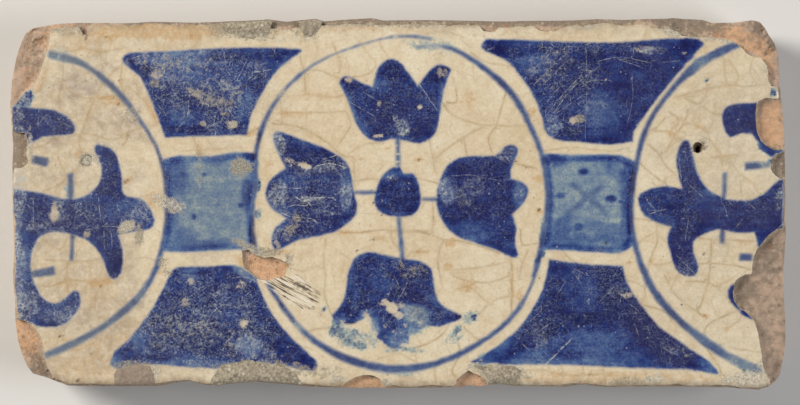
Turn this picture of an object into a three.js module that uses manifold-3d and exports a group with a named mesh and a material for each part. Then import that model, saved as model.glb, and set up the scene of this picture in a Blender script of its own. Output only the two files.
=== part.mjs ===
// A tin-glazed earthenware border tile, painted in cobalt blue: a round medallion with four tulips in the
// middle, half a medallion with a palmette at each end, and dark panels and small squares in between.
// Millimetres. X runs along the border, Y across it and Z up out of the glazed face.
// The origin is the centre of the bedding face.
import * as THREE from "three";
import { mergeVertices } from "three/addons/utils/BufferGeometryUtils.js";
import Module from "manifold-3d";

const wasm = await Module();
wasm.setup();

// The border's own sizes, in order along X. Together they are the length of the tile.
const LEFT_REACH = 26.5; // from the left end to the half medallion's ring
const LEFT_LINK = 14.8; // between that ring and the medallion
const MEDALLION_LENGTH = 50.2;
const RIGHT_LINK = 14.2;
const RIGHT_REACH = 26.3;
const TILE_WIDTH = 63.2;

// The clay and what was laid on it.
const BODY_THICKNESS = 13.4;
const GLAZE_THICKNESS = 0.6;
const SIDE_SLOPE = 1.5; // the sides were cut sloping, so the back is this much smaller all round
const BACK_ARRIS = 0.8; // the worn arris round the bedding face
const PAINT_DEPTH = 0.25; // how far the cobalt sank into the glaze
const CHIP_DEPTH = 0.35; // how far a chip's floor lies below the glaze
const NAIL_HOLE_DIAMETER = 2;
const NAIL_HOLE_DEPTH = 3; // pressed into the clay by the nails of the cutter's board
const NAIL_HOLE_FROM_LEFT_END = 13;
const LEFT_NAIL_HOLE_FROM_NORTH = 24.3;
const NAIL_HOLE_FROM_RIGHT_END = 15;
const RIGHT_NAIL_HOLE_FROM_NORTH = 22;
const GRIT_RECESS = 0.3; // how far the filling of a nail hole lies below the face
const MORTAR_THICKNESS = 0.4;

// Widths of the brush strokes at their fullest.
const RING_STROKE = 1.2;
const STEM_STROKE = 0.7;
const VEIN_STROKE = 0.95;
const FRAME_STROKE = 1.1;
const CROSS_STROKE = 0.8;

const TILE_LENGTH = LEFT_REACH + LEFT_LINK + MEDALLION_LENGTH + RIGHT_LINK + RIGHT_REACH;
const FACE = BODY_THICKNESS + GLAZE_THICKNESS;
const CUT_CLEAR = 1; // how far a cutting shape runs past what it cuts
const LEAST_STEP = 0.01; // points of an outline that lie closer than this are one point
const MERGE_WITHIN = 1e-4; // vertices of a mesh that lie closer than this are one vertex
const HOLE_SIDES = 20;

// The painter pounced the design through a pricked paper, drawn at these places along X and at this width.
// It is let out or taken in between the same places on the tile.
const PRICKED_X = [-66, -39.5, -24.7, 25.5, 39.7, 66];
const PRICKED_WIDTH = 63.2;
const TILE_X = [LEFT_REACH, LEFT_LINK, MEDALLION_LENGTH, RIGHT_LINK, RIGHT_REACH].reduce(
  (places, step) => [...places, places.at(-1) + step],
  [-TILE_LENGTH / 2],
);

function pounced([x, y]) {
  const last = PRICKED_X.length - 2;
  const zone = Math.min(last, Math.max(0, PRICKED_X.filter((edge) => edge <= x).length - 1));
  const share = (x - PRICKED_X[zone]) / (PRICKED_X[zone + 1] - PRICKED_X[zone]);
  const along = TILE_X[zone] + share * (TILE_X[zone + 1] - TILE_X[zone]);
  return new THREE.Vector2(along, (y * TILE_WIDTH) / PRICKED_WIDTH);
}

// Outlines
// A drawn outline is a list of brush runs. Each run is smooth, and where one run meets the next is a corner.

function smooth(points, stepsPerSpan) {
  if (points.length < 3) {
    return points;
  }
  return new THREE.SplineCurve(points).getPoints((points.length - 1) * stepsPerSpan);
}

function outlineOf(runs, stepsPerSpan = 2) {
  const points = runs.flatMap((run) => smooth(run.map(pounced), stepsPerSpan));
  return points.filter((point, i) => point.distanceTo(points.at(i - 1)) > LEAST_STEP);
}

// A stroke of the brush through points of x, y and the share of the full width that it has there.
function strokeOutline(points, width, stepsPerSpan = 2) {
  const line = points.map(pounced);
  const middle = smooth(line, stepsPerSpan);
  const steps = line.length < 3 ? 1 : stepsPerSpan;
  const left = [];
  const right = [];
  middle.forEach((point, i) => {
    const ahead = middle[Math.min(i + 1, middle.length - 1)];
    const behind = middle[Math.max(i - 1, 0)];
    const normal = ahead.clone().sub(behind).normalize().rotateAround(new THREE.Vector2(), Math.PI / 2);
    const span = Math.min(Math.floor(i / steps), points.length - 2);
    const share = THREE.MathUtils.lerp(points[span][2] ?? 1, points[span + 1][2] ?? 1, i / steps - span);
    left.push(point.clone().addScaledVector(normal, (share * width) / 2));
    right.push(point.clone().addScaledVector(normal, (-share * width) / 2));
  });
  return [...left, ...right.reverse()];
}

// How far along each side of the tile, as a share of it, and how far the hand-cut edge falls short there.
const NORTH_EDGE = [
  [0.0265, 1.8], [0.038, 1.5], [0.061, 0.95], [0.091, 0.8], [0.152, 0.85], [0.182, 0.6], [0.242, 0.75],
  [0.311, 0.4], [0.333, 0.2], [0.356, 0.6], [0.394, 0.1], [0.405, 0.5], [0.447, 0.1], [0.466, 0],
  [0.481, 0.4], [0.538, 0.3], [0.636, 0.55], [0.727, 0.35], [0.758, 0.15], [0.788, 0.3], [0.856, 0],
  [0.894, 0.3], [0.904, 0.8], [0.936, 0.7], [0.957, 0.3], [0.967, 0.6],
];
const EAST_EDGE = [
  [0.025, 3.5], [0.048, 2.7], [0.07, 1.8], [0.097, 1.25], [0.136, 1.1], [0.176, 1.15], [0.215, 0.8],
  [0.278, 0.4], [0.358, 0.2], [0.484, 0.05], [0.54, 0.15], [0.579, 0], [0.682, 0.4], [0.729, 0.4],
  [0.816, 0.05], [0.88, 0.05], [0.935, 0.6], [0.959, 0.9], [0.978, 1.7],
];
const SOUTH_EDGE = [
  [0.021, 0.6], [0.034, 0], [0.076, 0.4], [0.136, 0.6], [0.227, 0.5], [0.246, 0.6], [0.258, 0.9],
  [0.269, 0.85], [0.284, 0.5], [0.348, 0.65], [0.371, 1], [0.394, 0.6], [0.409, 0.75], [0.42, 0.4],
  [0.5, 0.35], [0.576, 0.4], [0.614, 0.5], [0.636, 0.9], [0.682, 1.4], [0.705, 1.2], [0.735, 0.65],
  [0.75, 0.9], [0.769, 1.5], [0.788, 1.2], [0.807, 0.7], [0.879, 0.6], [0.924, 0.7], [0.939, 1.4],
  [0.958, 2.3],
];
const WEST_EDGE = [
  [0.044, 3.8], [0.065, 2.8], [0.098, 1.9], [0.144, 1.2], [0.191, 0.9], [0.247, 0.8], [0.294, 0.5],
  [0.389, 0.7], [0.5, 0.4], [0.611, 0.4], [0.658, 0.5], [0.769, 0], [0.832, 0.25], [0.891, 0.9],
  [0.935, 1.8], [0.962, 2.7],
];

function tileOutline() {
  const halfLength = TILE_LENGTH / 2;
  const halfWidth = TILE_WIDTH / 2;
  const north = NORTH_EDGE.map(([share, short]) => [(share * 2 - 1) * halfLength, halfWidth - short]);
  const east = EAST_EDGE.map(([share, short]) => [halfLength - short, (1 - share * 2) * halfWidth]);
  const south = SOUTH_EDGE.map(([share, short]) => [(1 - share * 2) * halfLength, short - halfWidth]);
  const west = WEST_EDGE.map(([share, short]) => [short - halfLength, (share * 2 - 1) * halfWidth]);
  const clockwise = [...north, ...east, ...south, ...west];
  return clockwise.map(([x, y]) => new THREE.Vector2(x, y)).reverse();
}

// Solids

function solidOf(geometry) {
  const bare = new THREE.BufferGeometry();
  bare.setAttribute("position", geometry.getAttribute("position"));
  bare.setIndex(geometry.getIndex());
  const merged = mergeVertices(bare, MERGE_WITHIN);
  const mesh = new wasm.Mesh({
    numProp: 3,
    vertProperties: merged.getAttribute("position").array,
    triVerts: new Uint32Array(merged.getIndex().array),
  });
  return new wasm.Manifold(mesh);
}

function prism(outline, bottom, top, holes = []) {
  const shape = new THREE.Shape(outline);
  shape.holes = holes.map((hole) => new THREE.Path(hole));
  const geometry = new THREE.ExtrudeGeometry(shape, { depth: top - bottom, bevelEnabled: false });
  return solidOf(geometry.translate(0, 0, bottom));
}

// A closed solid through rings of equally many points, each at its own height, with flat ends.
function loft(rings) {
  const count = rings[0].points.length;
  const positions = rings.flatMap(({ points, z }) => points.flatMap((point) => [point.x, point.y, z]));
  const index = [];
  for (let level = 0; level + 1 < rings.length; level++) {
    for (let i = 0; i < count; i++) {
      const a = level * count + i;
      const b = level * count + ((i + 1) % count);
      index.push(a, b, b + count, a, b + count, a + count);
    }
  }
  const top = (rings.length - 1) * count;
  for (const [a, b, c] of THREE.ShapeUtils.triangulateShape(rings[0].points, [])) {
    index.push(a, c, b);
  }
  for (const [a, b, c] of THREE.ShapeUtils.triangulateShape(rings.at(-1).points, [])) {
    index.push(top + a, top + b, top + c);
  }
  const geometry = new THREE.BufferGeometry();
  geometry.setAttribute("position", new THREE.Float32BufferAttribute(positions, 3));
  geometry.setIndex(index);
  return solidOf(geometry);
}

// The outline drawn in all round by the same share of the half length and the half width.
function drawnIn(outline, inset) {
  const x = 1 - inset / (TILE_LENGTH / 2);
  const y = 1 - inset / (TILE_WIDTH / 2);
  return outline.map((point) => new THREE.Vector2(point.x * x, point.y * y));
}

function geometryOf(solid) {
  const { vertProperties, triVerts } = solid.getMesh();
  const geometry = new THREE.BufferGeometry();
  geometry.setAttribute("position", new THREE.BufferAttribute(vertProperties, 3));
  geometry.setIndex(new THREE.BufferAttribute(triVerts, 1));
  return geometry;
}

// The cut solid is made anew from its bare mesh, so that it doesn't carry the history of its cuts along.
function without(solid, cuts) {
  return solidOf(geometryOf(wasm.Manifold.difference([solid, ...cuts])));
}

function meshOf(name, solid, material) {
  const geometry = geometryOf(solid);
  geometry.computeVertexNormals();
  const mesh = new THREE.Mesh(geometry, material);
  mesh.name = name;
  return mesh;
}

// Where the glaze has broken away and the fired clay shows.
const CHIPS = {
  northWest: [
    [-68, 17], [-65, 16.9], [-63.2, 19.2], [-61.6, 20.4], [-60.7, 22.5], [-60.2, 24.5], [-59.4, 27],
    [-59.1, 29], [-58.6, 30.2], [-57, 31], [-57, 33], [-68, 33],
  ],
  north: [
    [-55.2, 33], [-55.2, 30.9], [-54.2, 29.9], [-53.2, 28.4], [-52.5, 29.6], [-51.2, 30.9], [-51.2, 33],
  ],
  west: [
    [-68, 12.4], [-65, 12.3], [-63.3, 12.1], [-62.9, 10.4], [-63.2, 8.5], [-62.9, 7], [-64, 6.2], [-68, 6.2],
  ],
  southWest: [
    [-68, -19.4], [-65, -19.5], [-63.5, -19.8], [-62.2, -20.6], [-61, -22], [-60.4, -23.6], [-60.1, -26],
    [-59.5, -28], [-58, -30], [-58, -33], [-68, -33],
  ],
  middle: [
    [-26.6, -8], [-25.5, -7.8], [-24.3, -8.7], [-22.8, -9.1], [-21.5, -9], [-20, -9.5], [-18.3, -10.4],
    [-19, -11.3], [-19.2, -12.3], [-20.5, -12.6], [-22.5, -13], [-23.5, -12.9], [-24.6, -12.1],
    [-26.2, -10.8],
  ],
  south: [
    [-9, -33], [-9, -30.4], [-7.6, -29.6], [-6, -29], [-4.5, -29], [-3, -29.7], [-2.4, -31], [-2.4, -33],
  ],
  southEastOfMiddle: [
    [10.3, -33], [9.9, -30], [11, -29], [12, -28.3], [13.5, -28.9], [15, -29.7], [15.3, -31], [15.3, -33],
  ],
  northEast: [
    [42.5, 33], [43.5, 31.2], [46.5, 30.4], [47.8, 29.4], [48.2, 28.6], [51.5, 28.4], [56, 28], [57.5, 27.3],
    [58.5, 26.5], [59.3, 25.5], [60.3, 25], [61.8, 24.8], [62.7, 23.6], [63, 20.9], [63.5, 20], [68, 19.6],
    [68, 33],
  ],
  east: [
    [68, 17.9], [64.2, 17.9], [62.5, 18], [61, 17.4], [60.8, 15.5], [60.8, 14], [61, 12.2], [61.6, 10.9],
    [62.6, 9.8], [64, 9.1], [68, 9.3],
  ],
  southEast: [
    [68, -3.4], [64.3, -4.3], [63, -5.3], [62, -6.4], [61, -7.6], [60.4, -9], [60.2, -10.5], [60.3, -12],
    [59, -12], [57.6, -12.6], [57.1, -13.5], [57, -15], [57.2, -16.4], [57.9, -17.6], [59, -18.2],
    [60.3, -19.4], [60.8, -20.5], [61.3, -22], [61.8, -25.5], [62.3, -28.5], [63.4, -30.4], [63.6, -33],
    [68, -33],
  ],
};

function chipPrism(points, depth) {
  return prism(outlineOf([points], 1), BODY_THICKNESS - depth, FACE + CUT_CLEAR);
}

function nailHole(centre, bottom, top) {
  const radius = NAIL_HOLE_DIAMETER / 2;
  const round = new THREE.CylinderGeometry(radius, radius, top - bottom, HOLE_SIDES).rotateX(Math.PI / 2);
  const [x, y] = centre;
  return solidOf(round.translate(x, y, (top + bottom) / 2));
}

const LEFT_NAIL_HOLE = [
  NAIL_HOLE_FROM_LEFT_END - TILE_LENGTH / 2,
  TILE_WIDTH / 2 - LEFT_NAIL_HOLE_FROM_NORTH,
];
const RIGHT_NAIL_HOLE = [
  TILE_LENGTH / 2 - NAIL_HOLE_FROM_RIGHT_END,
  TILE_WIDTH / 2 - RIGHT_NAIL_HOLE_FROM_NORTH,
];

// Everything that the painter laid down, each with its outline in the order of painting: what comes later
// stops where it meets what is there.
const strokes = {
  medallion_ring_left: strokeOutline(
    [
      [5.6, 28, 0.3], [3.5, 28.4, 0.4], [0, 28.5, 0.35], [-4, 27.8, 0.3], [-9, 26.2, 0.35], [-14, 23.9, 0.5],
      [-18.4, 20.4, 0.5], [-21.6, 16.2, 0.55], [-23.4, 12, 0.7], [-24.1, 8.6, 0.6], [-24.1, 4.5, 0.5],
      [-24.6, 0, 0.5], [-24.7, -4, 0.5], [-24.1, -8.6, 0.6],
    ],
    RING_STROKE,
  ),
  medallion_ring_right: strokeOutline(
    [
      [-22.3, -13.3, 0.6], [-19.5, -17.6, 0.7], [-16, -21.8, 0.7], [-12, -24.7, 0.85], [-8, -26.6, 1],
      [-2, -28, 1], [4, -27.7, 0.9], [9.2, -26.1, 0.75], [13.3, -24, 0.75], [17, -21.5, 0.65],
      [20.3, -18.1, 0.65], [22.6, -14, 0.55], [23.9, -9.5, 0.55], [24.8, -5, 0.7], [25.5, 0, 0.75],
      [25.2, 4.5, 0.7], [24.3, 8.8, 0.7], [22.6, 13, 0.75], [20.2, 17.6, 0.7], [17, 21.2, 0.7],
      [13, 24.3, 0.65], [9, 26.5, 0.55], [6, 26.9, 0.3], [3.2, 26.7, 0.25],
    ],
    RING_STROKE,
  ),
  ring_left: strokeOutline(
    [
      [-59.3, 25.4, 0.75], [-55, 24.4, 0.75], [-51, 22.1, 0.7], [-47, 18.4, 0.7], [-43.8, 14.1, 0.65],
      [-41.2, 9.9, 0.55], [-40, 6.2, 0.5], [-39.4, 2, 0.5], [-39.4, -2, 0.5], [-39.9, -6, 0.55],
      [-41, -10.6, 0.7], [-43.2, -14.7, 0.8], [-46, -17.7, 0.85], [-50, -20.8, 0.8], [-55, -23.6, 0.8],
      [-60, -25.8, 0.8],
    ],
    RING_STROKE,
  ),
  ring_right: strokeOutline(
    [
      [57.9, 27.2, 0.8], [55, 26, 0.95], [51.2, 24, 1], [46.9, 19.8, 0.8], [43.8, 15.8, 0.75],
      [41.9, 12, 0.75], [40.7, 7.6, 0.7], [40, 3, 0.6], [39.7, -1, 0.6], [40, -5.5, 0.7],
      [41.3, -10.2, 0.75], [43.5, -14.8, 0.75], [46.6, -18.6, 0.8], [50.5, -22.1, 0.9], [54.5, -25, 1],
      [58.5, -27.2, 1], [61.3, -28.1, 0.8],
    ],
    RING_STROKE,
  ),
};

const flower = {
  flower_heart: outlineOf([
    [
      [-0.6, 6.3], [-1.4, 5.9], [-2.5, 5], [-3.4, 3.3], [-4, 1.4], [-3.9, -0.2], [-2.6, -1.7], [0, -2.15],
      [2.4, -1.9], [3.9, 0], [3.8, 2], [3.2, 4.2], [2.3, 5.2], [1, 5.2], [0.4, 6.3],
    ],
  ]),
  tulip_upper: outlineOf([
    [[-10, 20.5], [-9.5, 21.5], [-8.4, 21.7], [-6.6, 20.8], [-4.3, 19.9]],
    [[-4.3, 19.9], [-3.7, 22.3], [-2.6, 24.1], [-0.9, 24.7], [0.8, 23.6], [3.3, 20.1]],
    [
      [3.3, 20.1], [4.6, 21.8], [6, 23.3], [7.2, 23.8], [8.4, 23.3], [9, 22.8], [8.5, 21.6], [7.8, 19.4],
      [7.2, 16], [6.6, 12.6], [5.6, 11.2], [3.6, 10.3], [1.6, 10.7], [0, 11], [-1.6, 11], [-3, 10.6],
      [-5, 11.1], [-6.8, 13.1], [-8.1, 16.3], [-9.2, 19.1], [-10, 20.5],
    ],
  ]),
  tulip_left: outlineOf([
    [
      [-19.1, 6.1], [-20.3, 8.6], [-21.2, 10.9], [-20.8, 12.2], [-19.4, 12.1], [-16, 10.8], [-12.5, 9.5],
      [-9.8, 8], [-8.2, 6], [-7.8, 3.4], [-7.2, 1], [-6.9, -0.6], [-7.6, -2.4], [-10, -4.3], [-13, -5.4],
      [-17, -6.1], [-20, -7.7], [-21.1, -7.6], [-21.5, -5.8], [-20.7, -3.9], [-18.9, -2.4],
    ],
    [[-18.9, -2.4], [-20.6, -1.4], [-22, 0], [-22.5, 1.8], [-21.9, 3.8], [-20.6, 5.1], [-19.1, 6.1]],
  ]),
  tulip_right: outlineOf([
    [
      [19.2, 4.3], [19.2, 5.8], [20.1, 8.1], [20.4, 9.3], [19.6, 10], [18.2, 9.8], [16.6, 8.2], [13.5, 8.2],
      [10.4, 7.8], [8.4, 6.6], [7.2, 4.2], [6.6, 1.5], [6.7, -0.8], [7.7, -3.2], [9.9, -5.4], [13, -6.5],
      [17, -8], [19.5, -9.1], [20.4, -8.6], [19.9, -6.6], [20.1, -4.2], [19.4, -1.8],
    ],
    [[19.4, -1.8], [20.9, -0.3], [21.9, 1.1], [22.1, 2.6], [21.2, 3.6], [19.2, 4.3]],
  ]),
  tulip_lower: outlineOf([
    [
      [-5.4, -19.3], [-7.6, -20.2], [-10.2, -20], [-11.2, -18.9], [-9.8, -17.4], [-8.9, -15], [-8.5, -12],
      [-7.5, -9.4], [-5.2, -8.2], [-2.6, -8.6], [0.4, -9.3], [3.6, -9.7], [5.6, -11], [6.1, -13.6],
      [6.8, -16.4], [8.6, -17.9], [10.7, -18.9], [10.2, -19.7], [7, -20.7], [4.6, -20.4],
    ],
    [[4.6, -20.4], [3, -22.2], [1.2, -23.9], [-0.8, -24.3], [-2.8, -23.5], [-4.4, -21.6], [-5.4, -19.3]],
  ]),
  stem_upper: strokeOutline([[-0.05, 11.4, 0.85], [0, 8.6, 1], [0, 5.8, 1]], STEM_STROKE),
  stem_left: strokeOutline([[-8.2, 1.9, 0.7], [-3.6, 2, 0.85]], STEM_STROKE),
  stem_right: strokeOutline([[3.6, 0.85, 0.8], [7, 0.75, 0.9]], STEM_STROKE),
  stem_lower: strokeOutline([[0.1, -1.8, 0.9], [0.35, -5, 1], [0.85, -9.8, 1.1]], STEM_STROKE),
};

// The sides of the dark panels run beside the rings, and their outer edges beside the edges of the tile.
const panels = {
  panel_upper_left: outlineOf([
    [[-45.7, 25.7], [-40, 25.9], [-32, 26.4], [-24, 26.6], [-17.4, 26.4], [-16.4, 26]],
    [[-16.4, 26], [-20.3, 23], [-22.9, 19.2], [-24.7, 15.7], [-25.4, 13.4], [-25.7, 11.8]],
    [[-25.7, 11.8], [-30, 11.6], [-35, 11.5], [-39.6, 11.3]],
    [[-39.6, 11.3], [-40.6, 14], [-42.1, 18], [-43.8, 21.5], [-46.7, 24], [-46.5, 25.1], [-45.7, 25.7]],
  ]),
  panel_upper_right: outlineOf([
    [[15, 28], [22, 27.9], [30, 27.5], [38, 27.5], [46, 28.1], [51, 28.1], [52, 27]],
    [[52, 27], [49.2, 24.2], [45, 19], [41.8, 14.8], [40.1, 12.4]],
    [[40.1, 12.4], [39.9, 10.6]],
    [[39.9, 10.6], [36, 10.1], [31, 10.5], [26.5, 11], [24.9, 12.8]],
    [[24.9, 12.8], [23.8, 16.9], [21.3, 21.2], [18.6, 24.3], [14.8, 26], [14.2, 27], [15, 28]],
  ]),
  panel_lower_left: outlineOf([
    [[-38.6, -11.6], [-37.4, -10.7], [-33, -10.7], [-27.6, -10.4], [-25.6, -11.5], [-24, -12.9]],
    [
      [-24, -12.9], [-22.4, -17], [-19.8, -20.9], [-16.6, -24.2], [-14, -26.6], [-14, -28.1],
      [-15.4, -28.3], [-19, -27.6],
    ],
    [[-19, -27.6], [-25, -27], [-31, -27.9], [-38, -27.5], [-44, -27.2], [-47.6, -28], [-49, -27.2]],
    [[-49, -27.2], [-48.2, -25.2], [-45.6, -22.9], [-42.3, -18.6], [-40, -14.6], [-38.6, -11.6]],
  ]),
  panel_lower_right: outlineOf([
    [[25.7, -9.4], [29, -9.9], [34, -10.4], [38.2, -10.5]],
    [
      [38.2, -10.5], [38.9, -13.3], [41, -16.7], [44, -20.5], [46.5, -22.4], [50, -24.9], [53, -26.9],
      [54.4, -28.8],
    ],
    [[54.4, -28.8], [49, -28], [42, -27.8], [32, -27.3], [22, -27.1], [15, -27.3], [12.3, -26.9]],
    [[12.3, -26.9], [17.2, -23.7], [21.2, -20.2], [23.8, -16.2], [25.1, -12.6], [25.7, -9.4]],
  ]),
};

// A small square at each link: a frame against both rings, a thin wash inside it and a cross on the wash.
const LINKS = {
  left: {
    west: [[-39.95, 7.6], [-39.4, 2], [-39.4, -2], [-39.9, -6], [-39.9, -8]],
    south: [[-39.9, -8], [-36.5, -8.2], [-31, -7.9], [-26.5, -7.7], [-24.3, -7.6]],
    east: [[-24.3, -7.6], [-24.7, -4], [-24.6, 0], [-24.1, 4.5], [-24.2, 8.6]],
    north: [[-24.2, 8.6], [-27.5, 8.8], [-32, 8.1], [-37, 8.2], [-39.95, 7.6]],
    cross: [[[-36.6, 5], [-27.4, -4.8]], [[-36.6, -4.8], [-27.4, 5]]],
  },
  right: {
    west: [[24.4, 8.6], [25.2, 4.5], [25.5, 0], [24.9, -4.5], [24.5, -7.8]],
    south: [[24.5, -7.8], [29, -7.9], [34, -8.2], [37.6, -8.4], [40, -7]],
    east: [[40, -7], [40, -5.5], [39.7, -1], [40, 3], [40.6, 7]],
    north: [[40.6, 7], [37.8, 8.3], [33, 8.4], [28.5, 8.4], [24.4, 8.6]],
    cross: [[[29.4, 3.5], [35.6, -1.6]], [[28.6, -1.8], [34.8, 3.1]]],
  },
};

const heartOf = (outline) => {
  const sum = outline.reduce((total, point) => total.add(point), new THREE.Vector2());
  return sum.divideScalar(outline.length);
};

// The wash lies inside the frame by the width of the frame's stroke.
function washOutline(outline) {
  const heart = heartOf(outline);
  const xs = outline.map((point) => point.x - heart.x);
  const ys = outline.map((point) => point.y - heart.y);
  const x = 1 - FRAME_STROKE / Math.max(...xs);
  const y = 1 - FRAME_STROKE / Math.max(...ys);
  return outline.map(({ x: px, y: py }) => {
    return new THREE.Vector2(heart.x + (px - heart.x) * x, heart.y + (py - heart.y) * y);
  });
}

// The palmettes run out over the end of the tile, where the next tile's half takes them up.
const palmettes = {
  palmette_left: outlineOf([
    [[-68, 3], [-63, 2.2], [-60, 1.7], [-57, 0.9], [-54.6, 0.9], [-52.6, 1.7], [-51, 3.2], [-50.4, 5]],
    [
      [-50.4, 5], [-50.5, 6.8], [-51.3, 8.4], [-51.6, 9.6], [-50.8, 10.1], [-48.9, 9.4], [-47.8, 8.1],
      [-47.1, 5.4], [-46.9, 2.2],
    ],
    [[-46.9, 2.2], [-46.2, 1.4], [-44, 0.9], [-42.4, -0.3], [-41.4, -2.8], [-42.2, -4.3], [-44.6, -4.6]],
    [[-44.6, -4.6], [-47.6, -5.2]],
    [
      [-47.6, -5.2], [-46.8, -8], [-46.9, -11], [-47.6, -12.5], [-48.9, -12.5], [-49.8, -10.4],
      [-50.6, -8.5], [-52.4, -6.5], [-54.8, -5.3], [-57.6, -4.7], [-59.6, -4.9], [-61.2, -5.8],
    ],
    [[-61.2, -5.8], [-68, -5.8]],
  ]),
  palmette_right: outlineOf([
    [[68, 4.2], [64.8, 4.1], [63.2, 2.6], [60.6, 0.8], [57.4, 0.6], [54.6, 1.3], [52.2, 3], [50.9, 5.4]],
    [[50.9, 5.4], [50, 8.3], [49.4, 10.7], [48.3, 10.6], [47.5, 8.6], [47.4, 6.2], [48.3, 2.6]],
    [
      [48.3, 2.6], [45.6, 3], [43, 2.6], [41.2, 1.7], [40.9, 0.1], [42, -2], [44.2, -3.2], [46.4, -3.9],
    ],
    [
      [46.4, -3.9], [45.8, -6], [46.4, -8.6], [47.2, -11], [48.8, -12.2], [50.5, -12.1], [51, -10.6],
      [50.2, -8.2], [50.2, -6.4], [51.8, -5.2], [54.4, -4.3], [57.4, -4.9], [60.6, -4.8],
    ],
    [[60.6, -4.8], [61.3, -7.4]],
    [[61.3, -7.4], [64.2, -4.6], [68, -3.8]],
  ]),
};
const leaves = {
  leaf_upper_left: outlineOf([
    [
      [-68, 16.9], [-62, 16.3], [-58.4, 15.9], [-56.2, 14.8], [-55, 13.2], [-55.2, 12], [-57.4, 11.7],
      [-60.4, 11.4], [-62.9, 10],
    ],
    [[-62.9, 10], [-63.6, 12.2], [-68, 12.4]],
  ]),
  leaf_lower_left: outlineOf([
    [
      [-61, -5.4], [-62, -7.4], [-62.5, -10.2], [-61.8, -13.7], [-60.2, -16.2], [-58.4, -16.9],
      [-56.6, -16.1], [-55.2, -14.9], [-54.2, -15.2], [-54.1, -17.3], [-55.6, -19.5], [-58, -20.8],
      [-61.4, -20.7], [-63.4, -19.6], [-68, -19.4],
    ],
    [[-68, -19.4], [-68, -5.4]],
  ]),
  leaf_upper_right: outlineOf([
    [
      [61.4, 17.2], [58.5, 17.1], [56, 16.6], [55.1, 15.2], [55.4, 13], [56.5, 11.4], [58.4, 12],
      [60.2, 11.9],
    ],
    [[60.2, 11.9], [61.8, 9.7], [63.4, 8], [64.2, 8.7]],
    [[64.2, 8.7], [64.2, 9.6], [61.6, 12.4], [61.4, 17.2]],
  ]),
  leaf_lower_right: outlineOf([[[57.6, -13.6], [56.6, -13.9], [56, -15.1], [56.7, -16.9], [58.2, -18.2]]]),
  leaf_lower_right_edge: outlineOf([
    [[58.5, -17.6], [58.2, -18.4], [59.2, -19.2], [60.6, -19.7], [60.6, -19]],
  ]),
};
const veins = {
  vein_level_upper_left: strokeOutline([[-62, 7.5, 1], [-59.7, 7.1, 1.3]], VEIN_STROKE),
  vein_upright_upper_left: strokeOutline([[-55.7, 5.1, 0.8], [-55.6, 0.4, 0.9]], VEIN_STROKE),
  vein_upright_lower_left: strokeOutline([[-55.3, -4.6, 0.7], [-55.5, -9.6, 0.6]], VEIN_STROKE),
  vein_level_lower_left: strokeOutline([[-62.8, -12.2, 0.8], [-58.6, -11.3, 1.1]], VEIN_STROKE),
  vein_upright_upper_right: strokeOutline([[55.6, 5.3, 0.6], [55.4, 0.6, 0.8]], VEIN_STROKE),
  vein_level_upper_right: strokeOutline([[59.1, 6.4, 1.1], [63.2, 6.7, 0.7]], VEIN_STROKE),
  vein_upright_lower_right: strokeOutline([[55.2, -4, 0.9], [55.1, -6.7, 0.8]], VEIN_STROKE),
  vein_level_lower_right: strokeOutline([[58.2, -9, 1], [60.1, -9.1, 1.1]], VEIN_STROKE),
};

// What is left of the mortar that the tile was set in, where it ran over the face: points of x and how far in
// from the edge. A reach below nothing runs past the edge, which trims it.
const MORTAR_NORTH = {
  mortar_north_west: [[-31, -1.4], [-30.4, 1.2], [-27.6, 3], [-24.4, 3.4], [-22, 2.4], [-20.6, -1.4]],
  mortar_north: [[-16.9, -1.4], [-16.7, 2], [-14.8, 3.1], [-13.3, 1.6], [-13, -1.4]],
};
const MORTAR_SOUTH = {
  mortar_south_west: [[-48.2, -1.4], [-48.3, 2.6], [-46.6, 4], [-41.9, 4.1], [-41.4, -1.4]],
  mortar_south: [[-32, -1.4], [-31, 3.2], [-27.4, 4.8], [-23.4, 4.7], [-17.6, 3.2], [-15.4, -1.4]],
  mortar_south_east: [[16, -1.4], [14.6, 3], [12.9, 4.2], [18, 3.9], [20.9, 3.3], [20.4, -1.4]],
};

function mortarOutline(points, side) {
  const along = points.map(([x, reach]) => {
    return new THREE.Vector2(pounced([x, 0]).x, side * (TILE_WIDTH / 2 - reach));
  });
  return smooth(along, 2);
}

// Materials
const clay = new THREE.MeshStandardMaterial({ color: "#c39a7c", roughness: 0.95, metalness: 0 });
const glaze = new THREE.MeshStandardMaterial({ color: "#cdbfa6", roughness: 0.3, metalness: 0 });
const cobalt = new THREE.MeshStandardMaterial({ color: "#27306e", roughness: 0.35, metalness: 0 });
const thinCobalt = new THREE.MeshStandardMaterial({ color: "#46608f", roughness: 0.35, metalness: 0 });
const wash = new THREE.MeshStandardMaterial({ color: "#7f95a8", roughness: 0.35, metalness: 0 });
const mortar = new THREE.MeshStandardMaterial({ color: "#a3957f", roughness: 1, metalness: 0 });

// Assembly
const outline = tileOutline();

const chipCuts = Object.values(CHIPS).map((points) => chipPrism(points, 0));
const nailCuts = [LEFT_NAIL_HOLE, RIGHT_NAIL_HOLE].map((centre) => {
  return nailHole(centre, FACE - NAIL_HOLE_DEPTH, FACE + CUT_CLEAR);
});

// Each stroke lies in its own hollow in the glaze, flush with the face, and stops where an earlier one is.
const painted = new Map();
const hollows = [];

function paintDown(name, shapes, material, holes = []) {
  const hollow = hollowOf(shapes, holes);
  const stroke = hollow.intersect(prism(outline, FACE - PAINT_DEPTH, FACE));
  painted.set(name, meshOf(name, without(stroke, [...hollows, ...chipCuts, ...nailCuts]), material));
  hollows.push(hollow);
}

function hollowOf(shapes, holes) {
  const solids = shapes.map((shape) => prism(shape, FACE - PAINT_DEPTH, FACE + CUT_CLEAR, holes));
  return wasm.Manifold.union(solids);
}

function paintAll(outlines, material) {
  for (const [name, shape] of Object.entries(outlines)) {
    paintDown(name, [shape], material);
  }
}

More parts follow.
